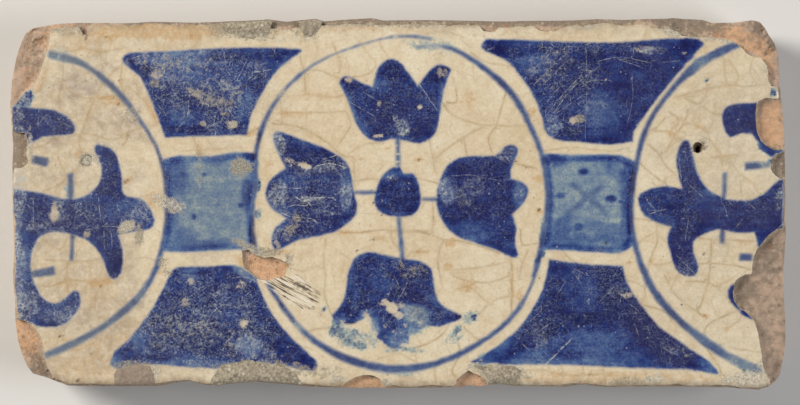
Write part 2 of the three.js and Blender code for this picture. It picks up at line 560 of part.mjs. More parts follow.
paintAll(strokes, thinCobalt);
paintAll(flower, cobalt);
paintAll(panels, cobalt);
paintAll(palmettes, cobalt);
paintAll(leaves, cobalt);
paintAll(veins, thinCobalt);
for (const [side, { west, south, east, north, cross }] of Object.entries(LINKS)) {
  const square = outlineOf([west, south, east, north]);
  const washed = washOutline(square);
  const arms = cross.map((arm) => strokeOutline(arm, CROSS_STROKE));
  paintDown(`link_cross_${side}`, arms, thinCobalt);
  paintDown(`link_frame_${side}`, [square], cobalt, [washed]);
  paintDown(`link_wash_${side}`, [washed], wash);
}

const slab = prism(outline, BODY_THICKNESS, FACE);
const glazeSolid = without(slab, [...chipCuts, ...nailCuts, ...hollows]);

const bodySolid = loft([
  { points: drawnIn(outline, SIDE_SLOPE + BACK_ARRIS), z: 0 },
  { points: drawnIn(outline, SIDE_SLOPE), z: BACK_ARRIS },
  { points: outline, z: BODY_THICKNESS },
]);
const brokenClay = Object.values(CHIPS).map((points) => chipPrism(points, CHIP_DEPTH));

const group = new THREE.Group();
group.add(meshOf("biscuit_body", without(bodySolid, [...brokenClay, ...nailCuts]), clay));
group.add(meshOf("tin_glaze", glazeSolid, glaze));
group.add(...painted.values());
for (const [side, crusts] of [[1, MORTAR_NORTH], [-1, MORTAR_SOUTH]]) {
  for (const [name, points] of Object.entries(crusts)) {
    const crust = prism(mortarOutline(points, side), FACE, FACE + MORTAR_THICKNESS);
    const tile = prism(outline, FACE, FACE + MORTAR_THICKNESS);
    group.add(meshOf(name, crust.intersect(tile), mortar));
  }
}
const grit = nailHole(LEFT_NAIL_HOLE, FACE - NAIL_HOLE_DEPTH, FACE - GRIT_RECESS);
group.add(meshOf("nail_hole_grit", grit, mortar));

export default group;
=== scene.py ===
"""The looks of an old tin-glazed border tile painted in cobalt blue, built round its CAD solids.

The glaze, the clay, every field of paint and every crust of mortar is its own closed mesh, cut from one
grid by the outline of the CAD node that it replaces. Lengths are in millimetres until a mesh is made. What
the eye sees within a field of paint (where the cobalt is thin, worn, scuffed or dirty, and where a highlight
is painted on) is a set of listed soft spots, stored on the vertices and roughened by the materials.
"""
import math

import bpy
import numpy as np
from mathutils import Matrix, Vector


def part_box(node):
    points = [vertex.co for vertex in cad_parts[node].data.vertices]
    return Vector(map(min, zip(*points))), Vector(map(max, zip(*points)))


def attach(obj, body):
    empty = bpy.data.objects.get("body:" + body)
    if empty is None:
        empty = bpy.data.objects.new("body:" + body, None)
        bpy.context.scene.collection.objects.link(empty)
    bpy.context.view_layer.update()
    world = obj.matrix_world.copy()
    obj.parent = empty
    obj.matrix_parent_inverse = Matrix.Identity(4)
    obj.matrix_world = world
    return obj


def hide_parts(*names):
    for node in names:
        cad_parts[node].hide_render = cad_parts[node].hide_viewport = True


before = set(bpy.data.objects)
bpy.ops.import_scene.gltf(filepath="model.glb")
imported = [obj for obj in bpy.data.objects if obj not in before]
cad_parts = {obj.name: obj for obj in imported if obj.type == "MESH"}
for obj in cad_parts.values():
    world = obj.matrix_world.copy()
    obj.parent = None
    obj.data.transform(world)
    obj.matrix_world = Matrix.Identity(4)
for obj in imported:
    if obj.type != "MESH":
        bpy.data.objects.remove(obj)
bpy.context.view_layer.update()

MM = 0.001
PHOTO_WIDTH, PHOTO_HEIGHT = 800, 405
MM_PER_PIXEL = 0.17
TILE_CENTRE_PIXEL = (398, 204)

PAINT_STEP = 0.25  # cells of the fields of paint
SLAB_STRIDE = 2  # the glaze and the clay use every second point of that grid
GRID_REACH = (67.0, 32.5)
HALO = 0.45  # a field of paint runs this far past its outline, where its colour has faded out
PAINT_LIFT = 0.02
SEAM = 0.02  # between the clay and the glaze
NAIL_HOLE_RADIUS = 1.0
NAIL_HOLE_FROM_CORNER = (15, 22)  # the right one, roughly: its outline is looked for here
FAR = 9.0  # stands for any distance too great to matter

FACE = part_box("tin_glaze")[1].z / MM
BODY_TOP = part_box("tin_glaze")[0].z / MM
BODY_LOW, BODY_HIGH = (np.array(corner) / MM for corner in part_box("biscuit_body"))
TILE_SIZE = BODY_HIGH - BODY_LOW


def nodes_named(*starts):
    return [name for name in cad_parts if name.startswith(starts)]


DARK = nodes_named("flower_", "tulip_", "panel_", "palmette_", "leaf_", "link_frame_")
THIN = nodes_named("medallion_", "ring_", "stem_", "vein_", "link_cross_")
WASHED = nodes_named("link_wash_")
CRUSTS = nodes_named("mortar_")


# The grid that every surface is cut from

def grid_axes():
    across, up = (np.arange(-reach, reach + PAINT_STEP / 2, PAINT_STEP) for reach in GRID_REACH)
    return np.meshgrid(across, up, indexing="ij")


GRID_X, GRID_Y = grid_axes()


def lumps(x, y, size, seed):
    """Smooth random heights from -1 to 1, with humps about this many millimetres across."""
    count = int(2 * GRID_REACH[0] / size) + 4
    lattice = np.random.default_rng(seed).uniform(-1, 1, (count, count))
    u = (x + GRID_REACH[0]) / size + 1
    v = (y + GRID_REACH[0]) / size + 1
    i = np.clip(u.astype(int), 0, count - 2)
    j = np.clip(v.astype(int), 0, count - 2)
    s = np.clip(u - i, 0, 1)
    t = np.clip(v - j, 0, 1)
    s = s * s * (3 - 2 * s)
    t = t * t * (3 - 2 * t)
    low = lattice[i, j] * (1 - s) + lattice[i + 1, j] * s
    high = lattice[i, j + 1] * (1 - s) + lattice[i + 1, j + 1] * s
    return low * (1 - t) + high * t


def rough(x, y, size, seed, layers=3, fall=0.5):
    """Layers of lumps, each half as large as the one before, and weaker by this fall."""
    total = sum(lumps(x, y, size / 2**k, seed + k) * fall**k for k in range(layers))
    return total / sum(fall**k for k in range(layers))


def lumpy(size, seed):
    return lumps(GRID_X, GRID_Y, size, seed)


def roughened(size, seed, layers=3, fall=0.5):
    return rough(GRID_X, GRID_Y, size, seed, layers, fall)


def soft_step(value, low, high):
    share = np.clip((value - low) / (high - low), 0, 1)
    return share * share * (3 - 2 * share)


SPOT_OUTLINE = 0.8 * roughened(3.6, 5, 4, fall=0.8)


def spots(marks):
    """Soft ragged ovals over the grid, each of x, y, half length, half width, slant in degrees, strength.

    Where they overlap, the strongest counts."""
    total = np.zeros_like(GRID_X)
    for x, y, along, across, slant, strength in marks:
        turn = math.radians(slant)
        dx, dy = GRID_X - x, GRID_Y - y
        u = (dx * math.cos(turn) + dy * math.sin(turn)) / along
        v = (dy * math.cos(turn) - dx * math.sin(turn)) / across
        mark = strength * soft_step(-np.hypot(u, v) - SPOT_OUTLINE, -1.5, -0.6)
        total = np.where(np.abs(mark) > np.abs(total), mark, total)
    return total


def curve_through(points, step=0.7):
    """A smooth curve through these points, as short straight pieces."""
    points = np.array(points, float)
    ends = np.concatenate([2 * points[:1] - points[1:2], points, 2 * points[-1:] - points[-2:-1]])
    places = []
    for before, start, end, after in zip(ends, ends[1:], ends[2:], ends[3:]):
        count = max(1, math.ceil(math.dist(start, end) / step))
        for t in np.arange(count) / count:
            places.append(start + 0.5 * t * (end - before + t * (
                2 * before - 5 * start + 4 * end - after + t * (3 * start - before - 3 * end + after))))
    places.append(points[-1])
    return list(zip(places, places[1:]))


def drawn_lines(lines):
    """Distance to the nearest of these lines, below nothing on its right, and how strongly it shows."""
    side = np.full(GRID_X.shape, FAR)
    nearest = np.full(GRID_X.shape, FAR)
    shown = np.zeros(GRID_X.shape)
    for strength, *points in lines:
        for edge in curve_through(points):
            part = window(np.array([edge]), 1.0)
            x, y = GRID_X[part], GRID_Y[part]
            (ax, ay), (bx, by) = edge
            away = distance(x, y, [edge])
            left = (bx - ax) * (y - ay) - (by - ay) * (x - ax) > 0
            closer = away < nearest[part]
            nearest[part] = np.where(closer, away, nearest[part])
            side[part] = np.where(closer, np.where(left, away, -away), side[part])
            shown[part] = np.where(closer, strength * soft_step(-away, -0.65, -0.4), shown[part])
    return side, shown


# Outlines, read from the CAD solids

FLATNESS = 0.004  # a corner this close to a height lies in the face there
WELD = 0.002  # corners this close together are one


def face_edges(node, height):
    """The edges round a node's flat face at this height, with the face on the left of each."""
    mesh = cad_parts[node].data
    mesh.calc_loop_triangles()
    points = np.array([v.co for v in mesh.vertices]) / MM
    triangles = np.array([t.vertices for t in mesh.loop_triangles])
    flat = np.abs(points[triangles][:, :, 2] - height).max(axis=1) < FLATNESS
    corners = points[triangles[flat]][:, :, :2]
    sides = corners[:, [1, 2]] - corners[:, [0]]
    turned = np.cross(sides[:, 0], sides[:, 1]) < 0
    corners[turned] = corners[turned][:, ::-1]
    rounded = np.round(corners / WELD).astype(int)
    edges = {}
    for triangle, keys in zip(corners, rounded):
        for k in range(3):
            start, end = tuple(keys[k]), tuple(keys[(k + 1) % 3])
            if (end, start) in edges:
                del edges[end, start]
            elif start != end:
                edges[start, end] = (triangle[k], triangle[(k + 1) % 3])
    return np.array(list(edges.values()))


def distance(x, y, edges):
    """How far each point is from the nearest of these edges."""
    nearest = np.full(x.shape, np.inf)
    for (ax, ay), (bx, by) in edges:
        ex, ey = bx - ax, by - ay
        share = np.clip(((x - ax) * ex + (y - ay) * ey) / (ex * ex + ey * ey), 0, 1)
        np.minimum(nearest, (x - ax - share * ex) ** 2 + (y - ay - share * ey) ** 2, out=nearest)
    return np.sqrt(nearest)


def inside(x, y, edges):
    """Whether each point lies within these closed outlines."""
    crossings = np.zeros(x.shape, bool)
    for (ax, ay), (bx, by) in edges:
        if ay == by:
            continue
        crossed = (ay > y) != (by > y)
        crossings ^= crossed & (x < ax + (y - ay) * (bx - ax) / (by - ay))
    return crossings


def window(edges, margin):
    """The part of the grid round these edges."""
    low = edges.min(axis=(0, 1)) - margin
    high = edges.max(axis=(0, 1)) + margin
    start = np.maximum(((low + GRID_REACH) / PAINT_STEP).astype(int), 0)
    end = ((high + GRID_REACH) / PAINT_STEP).astype(int) + 2
    return slice(start[0], end[0]), slice(start[1], end[1])


def signed(edges, margin=1.5):
    """Distance to an outline over the grid, below nothing within it, and FAR away from it."""
    field = np.full(GRID_X.shape, FAR)
    part = window(edges, margin)
    x, y = GRID_X[part], GRID_Y[part]
    field[part] = distance(x, y, edges) * np.where(inside(x, y, edges), -1, 1)
    return field


def tile_edges():
    """The outline of the face: the back's outline let out again to the tile's full size."""
    back = face_edges("biscuit_body", BODY_LOW[2])
    low, high = back.min(axis=(0, 1)), back.max(axis=(0, 1))
    return back * TILE_SIZE[:2] / (high - low)


# How far the glaze has worn back from the north side, as x and reach, and from the other sides.
NORTH_WEAR = [
    (-66, 0.5), (-50, 0.5), (-46, 0.3), (-30, 0.35), (-26, 1.1), (-18, 1.3), (-12, 0.9), (-4, 0.7),
    (8, 0.6), (13.6, 0.7), (14.4, 1.7), (16.4, 1.8), (17.2, 1), (23, 0.8), (24, 1.5), (26.5, 1.7),
    (29.5, 0.8), (36, 0.6), (41, 0.9), (45, 1.5), (49, 2.6), (66, 1),
]
NORTH_FROM = (26, 29)  # the north side's wear fades in between these
SIDE_WEAR = 0.3
# A shallow chip at the east side that the CAD solid leaves out: x, y, half length and half width.
EAST_CHIP = (66.0, 6.5, 2.7, 2.3)


def east_chip():
    """Roughly the distance to the outline of that chip, above nothing within it."""
    x, y, along, across = EAST_CHIP
    return across * (1 - np.hypot((GRID_X - x) / along, (GRID_Y - y) / across))


def worn_glaze():
    """Signed distance to the edge of the glaze: its outline made ragged, and worn back from the sides."""
    x, reach = np.array(NORTH_WEAR).T
    north = np.interp(GRID_X, x, reach) - 0.2 + 0.3 * roughened(1.2, 22)
    wear = SIDE_WEAR * (1 + 1.2 * roughened(3.0, 11)) + north * soft_step(GRID_Y, *NORTH_FROM)
    return np.maximum(in_glaze + 0.18 * roughened(1.6, 31), in_tile + wear)


in_tile = signed(tile_edges(), margin=3)
glazed_edges = face_edges("tin_glaze", BODY_TOP)
in_glaze = np.maximum(signed(glazed_edges, margin=3), east_chip())
glaze_cut = worn_glaze()

painted_edges = {name: face_edges(name, FACE) for name in DARK + THIN + WASHED}
own = {name: signed(edges) for name, edges in painted_edges.items()}


# Where the paint starts and ends, and how strong it is

def cut_up(edges, step=0.4):
    """The edges cut into pieces no longer than this."""
    pieces = []
    for start, end in edges:
        count = max(1, math.ceil(math.dist(start, end) / step))
        marks = [start + (end - start) * k / count for k in range(count + 1)]
        pieces.extend(zip(marks, marks[1:]))
    return np.array(pieces)


def free_pieces(name, just_outside=0.06):
    """The pieces of a field's outline that have bare glaze beyond them."""
    pieces = cut_up(painted_edges[name])
    run = pieces[:, 1] - pieces[:, 0]
    outward = np.stack([run[:, 1], -run[:, 0]], axis=1)
    outward /= np.linalg.norm(outward, axis=1)[:, None]
    x, y = (pieces.mean(axis=1) + just_outside * outward).T
    free = inside(x, y, glazed_edges)
    for other, edges in painted_edges.items():
        if other != name:
            free &= ~inside(x, y, edges)
    return pieces[free]


def nearest_glaze(slope, back, axis):
    """The grid row or column to which a point goes when it moves back onto the glaze."""
    place = (GRID_X, GRID_Y)[axis] - slope * back + GRID_REACH[axis]
    return np.clip(np.rint(place / PAINT_STEP).astype(int), 0, GRID_X.shape[axis] - 1)


def paint_border():
    """Signed distance over the grid to where paint meets bare glaze, below nothing within the paint."""
    away = np.full(GRID_X.shape, FAR)
    for name, edges in painted_edges.items():
        pieces = free_pieces(name)
        part = window(edges, 1.5)
        if len(pieces):
            away[part] = np.minimum(away[part], distance(GRID_X[part], GRID_Y[part], pieces))
    nearest = np.minimum.reduce(list(own.values()))
    # Beyond a chip or the rim, a point is painted if the glaze next to it is.
    slope_x, slope_y = np.gradient(in_glaze, PAINT_STEP)
    back = np.clip(in_glaze + 0.3, 0, 1.5)
    beside = nearest[nearest_glaze(slope_x, back, 0), nearest_glaze(slope_y, back, 1)]
    painted = np.where(in_glaze > -0.02, beside < 0.1, nearest < 0.5 * away)
    return away * np.where(painted, -1, 1)


FULL, DRAWN, WASH = 0.95, 0.68, 0.24
STRENGTH = {**dict.fromkeys(DARK, FULL), **dict.fromkeys(THIN, DRAWN), **dict.fromkeys(WASHED, WASH)}
STRENGTH.update(
    link_frame_left=0.58, link_frame_right=0.62, link_cross_left=0.3, link_cross_right=0.5,
    stem_upper=0.5, stem_lower=0.6, vein_level_lower_left=0.7, vein_level_upper_left=0.75,
    vein_level_upper_right=0.6, vein_level_lower_right=0.75, vein_upright_upper_right=0.55,
)


def paint_strength(blend=0.7):
    """How much cobalt each point has. Neighbouring fields blend over this many millimetres."""
    total = np.zeros_like(GRID_X)
    weight = np.full_like(GRID_X, 1e-6)
    for name, field in own.items():
        # A trace of weight carries a field's strength past its outline.
        share = np.clip(0.5 - field / blend, 0, 1) + 1e-4 * (field < FAR)
        total += share * STRENGTH[name]
        weight += share
    return total / weight


# Marks found in the photograph: x, y, half length, half width, slant in degrees and strength.

# Where the brush left more cobalt than in the rest of a field, and where it left less.
DEEPER = [
    (32, -5.6, 8, 2.2, 0, 0.12), (43.4, -21.6, 4.2, 3.2, -45, 0.25), (35, -16, 7, 5, 0, 0.06),
    (60.3, 6.4, 1.2, 0.5, 0, 0.25), (41.6, 10, 1.2, 4, -25, 0.12), (-40.8, 8, 1, 5, 15, 0.14),
    (-20, -17, 1.4, 3.4, 30, 0.14), (24, -9.2, 0.5, 1.2, -20, 0.4), (-23.6, 10.8, 0.6, 1.6, 15, 0.3),
    (18, 18, 2, 5, 35, 0.12), (38.9, 0, 1, 8, 0, 0.22), (38.6, 6.6, 1.6, 1.4, 0, 0.2),
    (31.7, 5.5, 0.8, 0.5, 0, 0.6), (27.8, 1.4, 0.8, 0.5, 0, 0.45), (30.8, -3.9, 0.9, 0.6, 0, 0.4),
    (36.3, 0.9, 0.9, 0.5, -10, 0.65), (38, 0.3, 0.8, 0.25, -10, 0.5), (34, -4, 3.4, 0.9, 0, 0.2),
    (39, 4, 1.4, 2.8, 0, 0.4), (38.8, -3, 1, 5, 0, 0.35), (25.6, 0, 0.6, 7, 0, 0.08),
    (31, -6.6, 6, 1.6, 0, 0.3), (27.4, -4.6, 2, 2.4, 0, 0.3), (36.4, -5.6, 2, 2, 0, 0.3),
    (32, 7.6, 7, 0.5, 0, 0.12), (37, 6.2, 2, 1.6, -30, 0.2), (26.6, 7.4, 2, 0.9, 0, 0.35),
    (-37.6, 5, 2, 3, 0, 0.36), (-38.6, -2.5, 1.3, 4.4, 0, 0.34), (-37, -5.6, 2.6, 1.6, 0, 0.25),
    (-25.8, 1.6, 0.8, 2.4, 0, 0.45), (-24.7, -4.8, 0.6, 2.4, 0, 0.45), (-30.5, 7.4, 2.8, 0.9, 0, 0.12),
    (-25.2, 8.3, 1.3, 0.9, -20, 0.55), (-34.7, -2.2, 0.4, 0.4, 0, 0.6),
    (-26.6, -0.2, 0.5, 0.35, 0, 0.5), (-32.9, 5, 0.4, 0.4, 0, 0.45), (-23.6, 11.4, 0.5, 1, 20, 0.4),
    (-33, -6.9, 5, 0.7, 5, 0.25), (-8, -26.5, 6, 1.2, -20, 0.16), (3, -28.3, 8, 1.2, 4, 0.07),
    (45, -16.6, 6, 1.2, -52, 0.1), (10.6, -19.3, 1, 0.6, 0, 0.2), (-8, -20.7, 0.9, 0.4, 0, 0.5),
    (-10.5, -21.6, 0.7, 0.7, 0, 0.4),
]
PALER = [
    (-57.5, 25.2, 3.4, 1.4, -8, 0.3), (-53.6, 23.8, 2, 1.2, -30, 0.16), (-57, -25, 3.8, 1.4, 20, 0.3),
    (-50.6, -21.4, 3, 1.2, 38, 0.16), (-14.4, 24.2, 5, 1.2, 40, 0.2), (-8, 27.2, 4, 1, 15, 0.25),
    (5.8, 27.8, 3, 1.2, -15, 0.3), (58, -27, 3.4, 1.6, -30, 0.32), (52, -23, 2.4, 1.2, -45, 0.16),
    (51.6, 24.4, 1.6, 1, 40, 0.2), (17, -24.6, 4, 1.2, 40, 0.2), (-17, -20.8, 0.9, 0.8, 0, 0.35),
    (22.6, -4, 0.8, 4, 0, 0.35), (62.4, 6.8, 1, 0.7, 0, 0.3), (25.2, 0, 0.5, 7, 0, 0.1),
    (32, -7.8, 7, 0.9, 0, 0.16), (31.6, 2.8, 4, 3, 0, 0.04), (-8.6, 17, 0.7, 3.6, 20, 0.26),
    (-5.6, 12.6, 2.2, 0.8, -60, 0.26), (7.4, 17, 0.6, 3, -8, 0.2), (-3, 20.4, 1.2, 1.6, 60, 0.24),
    (24, 24, 3.4, 1.4, 0, 0.22), (35, 16, 3, 3, 0, 0.3), (40.4, 22, 1.4, 0.9, 0, 0.2),
    (26.2, 13.4, 1.2, 1.7, 0, 0.25), (34, -23.2, 6, 1.7, 0, 0.3), (37, -26.4, 6, 1.2, 0, 0.3),
    (31, -14.6, 2.6, 3, 0, 0.16), (52.6, -27.4, 2.2, 1.2, -40, 0.35), (27, -27, 4, 0.8, 0, 0.3),
    (22, -26, 3.4, 1.4, 20, 0.35), (-36, 14.6, 3, 1.4, 0, 0.25), (-26, 17, 1, 3, -20, 0.25),
    (-38.5, 25, 6, 1.5, 3, 0.3), (-33, 22, 8, 2, 0, 0.2), (-25.2, -24, 1.8, 1.4, 0, 0.4),
    (-26.4, -11.4, 2.6, 0.9, -35, 0.45), (-34, -26.8, 5, 1, 0, 0.3), (-48, -27, 1, 1.2, 0, 0.35),
    (-35.6, -12, 1.4, 1, 0, 0.3), (-43.6, -23.6, 1.4, 2, 40, 0.2), (-46, -1.6, 4, 2, 0, 0.2),
    (-52, 1, 3, 0.8, 0, 0.15), (-59, -5, 2, 0.8, 0, 0.15), (43.4, -1.4, 1.6, 2, 0, 0.12),
    (45.6, -2.6, 1.6, 0.9, -20, 0.3), (52.6, 0.4, 2, 2, 0, 0.2), (55, -2.4, 3, 1.6, 0, 0.14),
    (20.6, 1.8, 1.2, 1.9, 0, 0.4), (8.2, 2.2, 1.2, 2.2, 0, 0.3), (13, -4.6, 3, 1.6, -20, 0.2),
    (2.6, -18.4, 2.4, 1.5, -25, 0.72), (0.7, -20.6, 1, 2, 0, 0.3), (3, -21.8, 0.9, 1.4, 20, 0.5),
    (-4.6, -21, 1.4, 1.8, 0, 0.7), (-5.4, -18.9, 1.4, 0.8, 20, 0.3), (-0.5, -23, 2.8, 1.3, 0, 0.34),
    (-9.6, -19.4, 1, 0.8, 30, 0.35), (-6.6, -23.8, 2.4, 0.9, -25, 0.6),
    (6.6, -16.8, 2.6, 0.6, -35, 0.25), (-7.4, -13, 0.8, 4, 0, 0.15), (-3, -14, 1.8, 3, 0, 0.08),
    (-19.4, -1.8, 1.4, 1.8, -20, 0.2), (-18.4, 3, 2.4, 2.2, 0, 0.22), (-0.4, 5, 2.6, 0.8, 0, 0.25),
    (-9, 1.6, 1, 4, 0, 0.28), (-60, 14, 2, 1.2, 0, 0.1), (-58, -18.6, 4.6, 1.6, 0, 0.2),
    # The strip at x -63.8 makes the paint paler along the rolled left end: part of the painted highlight
    # there.
    (-63.8, -7, 1, 10, 0, 0.2), (4.6, 27.2, 2.6, 0.7, -10, 0.35), (-0.5, 28.3, 0.8, 0.6, 0, 0.5),
    (-5, 28.2, 2, 0.6, 0, 0.12), (-1, -28.1, 3.4, 1, 0, 0.15), (-12, 25.4, 6, 1.2, 33, 0.16),
    (-18.4, 21, 3, 1.2, 50, 0.1), (-43.5, -15.7, 1, 0.8, 45, 0.3), (51, 23.6, 1.4, 0.6, 40, 0.2),
]
# Where a stroke is narrower than its outline, in millimetres to each side. Below nothing it is broader.
NARROWER = [
    (-12, 25.4, 7, 1.6, 35, 0.16), (-4, 28.3, 4, 1.2, 8, 0.16), (-18.6, 20.6, 3, 1.6, 50, 0.08),
    (17.5, -24, 5, 1.8, 40, 0.2), (23.4, -9.6, 1.2, 2.6, -20, -0.17), (22.4, -14, 1.4, 3, -25, 0.1),
    (19, 19, 3, 5, 40, -0.12), (-8, -26.6, 6, 1.6, -20, -0.06), (1, -28.4, 5, 1.2, 0, -0.05),
    (53, -23.4, 3, 1.6, -38, -0.17), (59, -27.4, 3, 1.6, -30, -0.2), (44, -15, 2, 5, 30, -0.14),
    (51, 23.4, 2.4, 1.4, 40, -0.22), (55, 25.8, 2.4, 1.2, 30, -0.16), (46, 17, 2, 4, -40, 0.08),
    (-57, 25.2, 3, 1.4, -8, -0.17), (-48, 20, 3, 2, -45, -0.06), (-42, 11, 1.4, 5, 20, 0.1),
    (-55, -24.6, 4, 1.6, 22, -0.12), (-46, -18, 3, 2, 45, -0.1), (-40.6, -6, 1.2, 4, -10, 0.05),
    (0, -24.2, 3, 0.9, 0, -0.22), (-9, -20, 1.6, 0.9, 0, -0.17), (6.5, -20.4, 2, 0.6, 0, -0.15),
    (-60, -11.6, 2.2, 1.3, 10, -0.2), (-60.8, 7.5, 1.9, 1.3, -10, -0.2),
    (60.5, 6.6, 2.2, 1.1, 8, -0.14), (59.3, -9, 1.8, 1.1, 0, -0.14), (-55.8, 3.6, 1.2, 2.6, 0, -0.1),
    (35, -28, 16, 0.8, -2, -0.15), (52.6, -27.8, 2.4, 1.2, -35, -0.17), (22, -27, 5, 1, 20, -0.15),
]
# Thick cobalt that turned violet.
VIOLET = [
    (60, -2, 14, 4, 0, 0.9), (49, 5, 2.5, 6, 0, 0.9), (48.5, -8.5, 2.5, 5, 0, 0.9),
    (58.5, 14, 4, 4, 0, 0.9), (43.4, -21.6, 4.6, 3.6, -45, 1), (-60, 14, 7, 2.6, 0, 1),
    (-49.5, 6, 3, 5, 0, 0.6), (-59, -3, 9, 3.6, 0, 0.9), (-50, -8, 3, 5, 0, 0.7),
    (-58, -18, 6, 3, 0, 0.5), (40, 19, 6, 7, 0, 0.7), (30, 20, 4, 6, 0, 0.4), (28, -12, 7, 2, 0, 0.3),
    (-14, 0, 5, 6, 0, 0.6), (2, 14, 7, 4, 0, 0.5), (-7, 18, 2, 3, 0, 0.4), (5, -17, 5, 3, -20, 0.6),
    (14, 3, 6, 6, 0, 0.5), (37.6, 13, 3, 2.4, 0, 0.5), (47, -25, 4, 2, -30, 0.6),
    (-33, 15, 8, 4, 0, 0.4), (-30, -13, 7, 3, 0, 0.4), (-37, -19, 3, 5, 20, 0.3),
]
# Thin cobalt that ran, or remains of strokes beside a break.
SMEARS = [
    (24.8, -5.8, 0.6, 2.8, 0, 1), (24.3, -8.6, 0.7, 1, -20, 1.2), (23.6, -9.6, 0.5, 0.7, -20, 1.6),
    (-24, 3.2, 0.9, 1.3, 0, 1.2), (-23.9, -1.6, 0.6, 0.9, 0, 1), (12.9, -19.3, 0.6, 0.5, 0, 1.6),
    (12.4, -19.5, 1.3, 1.2, 0, 0.6), (9.6, -22.4, 1.8, 1.3, 0, 0.6), (10.2, -21.6, 0.5, 0.8, 0, 1),
    (-6.4, -22.8, 4, 1.4, -20, 0.5), (3.4, -20.6, 1.6, 1.6, -30, 0.6), (-10.3, -21, 0.7, 1.4, 10, 0.9),
    (-8.9, -23, 1.4, 0.9, -20, 0.85), (-7.2, -21.9, 0.8, 0.6, 0, 0.85),
    (-12.5, -17.8, 0.5, 0.5, 30, 1.3), (-10.4, -21.6, 1, 0.9, 0, 0.95),
    (-6.4, -24.1, 1.3, 0.8, -10, 0.85), (53.4, -23.8, 3, 1.1, -38, 0.5),
    (58.4, -27.2, 3, 1.1, -30, 0.6), (-57.6, 25.2, 2.6, 1.1, -8, 0.4), (7, 27, 3, 1, -12, 0.4),
    (52.5, 21, 0.32, 0.32, 0, 1.5), (11.5, -20, 3, 0.7, 25, 0.3), (4.5, 27, 3, 0.8, -8, 0.5),
    (-63.9, 17.8, 1.7, 1.5, 0, 1.2), (-62.7, 18.4, 0.3, 1.1, 0, 1.5), (63.9, 18.9, 0.6, 0.9, 30, 1.3),
    (62.6, 9.4, 1.9, 0.6, -35, 1.5), (64.4, 9, 0.9, 0.4, 0, 1.5), (61.5, -28.2, 1.6, 0.5, 0, 0.9),
    (14.5, -26.6, 2.2, 0.8, 30, 0.7), (-0.5, -28.9, 4, 0.5, 0, 0.4), (63.6, 7.4, 0.9, 0.4, 20, 0.9),
    (-56.2, 2.2, 0.9, 1.3, 0, 0.5), (0.6, -24.8, 3.2, 0.5, 0, 0.7), (-21, 28, 8, 0.5, 0, 0.2),
    (38.6, 8.6, 1.6, 1, -30, 0.25), (-24.5, 5.3, 0.6, 0.7, 0, 0.6),
]
# Where the paint has worn off the glaze.
BARE = [
    (-1.1, -17.5, 1.6, 0.9, -45, 1.35), (-2.3, -16.7, 0.8, 0.6, 20, 1.2),
    (0.1, -18.8, 0.8, 0.7, 0, 1.2), (-7.6, -21.9, 1.4, 1.1, 0, 1.2), (0.6, -17.3, 0.7, 0.5, -20, 0.9),
    (-3, -23.5, 0.8, 0.6, -30, 1.3), (2.6, -22.9, 0.8, 0.7, 60, 1.4), (1.1, -24.1, 0.7, 0.4, 0, 1.2),
    (-3.9, -22.2, 0.5, 0.9, 0, 1), (-5.2, -20.2, 0.8, 1.4, 10, 1.2), (-0.8, -21.6, 0.35, 0.3, 0, 0.8),
    (1.2, -20.6, 0.3, 0.4, 0, 0.8), (-2.2, -20.8, 0.3, 0.3, 0, 0.7), (2.4, -19.2, 0.5, 0.9, 0, 0.7),
    (4, -20.4, 0.7, 0.6, 30, 0.8), (-5.2, -22.4, 0.9, 0.7, 0, 0.9), (-5.6, -20.6, 0.8, 1, -10, 0.9),
    (-9.4, -20.2, 0.8, 0.5, 0, 0.9), (3.6, -22.6, 0.7, 1, 20, 1), (3.8, 16.3, 0.5, 0.42, 0, 1.2),
    (-8.6, 21.2, 0.7, 0.5, -20, 1.1), (7.6, 22.3, 0.9, 0.9, 0, 0.65), (-15.9, 6.5, 1.2, 0.45, -15, 1.3),
    (-18.4, 7.2, 0.9, 0.7, -30, 0.8), (-3.3, 11.6, 1, 0.4, 0, 1.2), (-3.2, 17, 0.4, 0.4, 0, 0.8),
    (-58.5, -1.3, 0.7, 1.6, 0, 1.3), (-46, -3.9, 1.3, 0.8, 20, 1.3), (29.8, 14.2, 0.6, 0.5, 0, 1.1),
    (-41.2, 22, 0.9, 0.6, 0, 1), (-28.3, 13.5, 0.9, 0.6, 0, 1.1), (-33.1, 13.7, 0.6, 0.5, 0, 0.9),
    (-35.3, -13.2, 0.6, 0.6, 0, 0.9), (-26.2, -20.3, 1, 0.7, 0, 1.2), (38.8, -15.4, 0.9, 0.5, 0, 1),
    (-36.2, -16.7, 0.7, 0.6, 0, 0.8), (-26.8, -13.7, 1, 0.6, 20, 0.8), (-52.9, -5.2, 0.8, 0.7, 0, 0.7),
    (48.6, 25.7, 0.4, 0.2, 0, 0.8), (41.6, 26.3, 1.4, 0.5, 5, 0.6), (-2.7, 0.6, 0.2, 0.3, 0, 0.6),
    (-34.5, 18.7, 1.5, 0.45, -25, 0.8), (-20.6, -6.8, 0.6, 0.8, 20, 0.7),
    (-0.1, 8.5, 0.5, 0.25, 0, 1.2), (-0.1, 7.2, 0.5, 0.25, 0, 1.2), (-0.1, 9.9, 0.5, 0.2, 0, 0.8),
    (-0.1, 6.4, 0.5, 0.18, 0, 1), (35.4, 21.1, 0.25, 0.25, 0, 1), (-43.6, -16.4, 0.5, 0.3, 40, 0.9),
    (26.1, -0.6, 0.25, 0.3, 0, 0.7), (26, 6.7, 0.25, 0.25, 0, 0.9), (-61.9, 7.4, 0.2, 1, 0, 0.6),
]
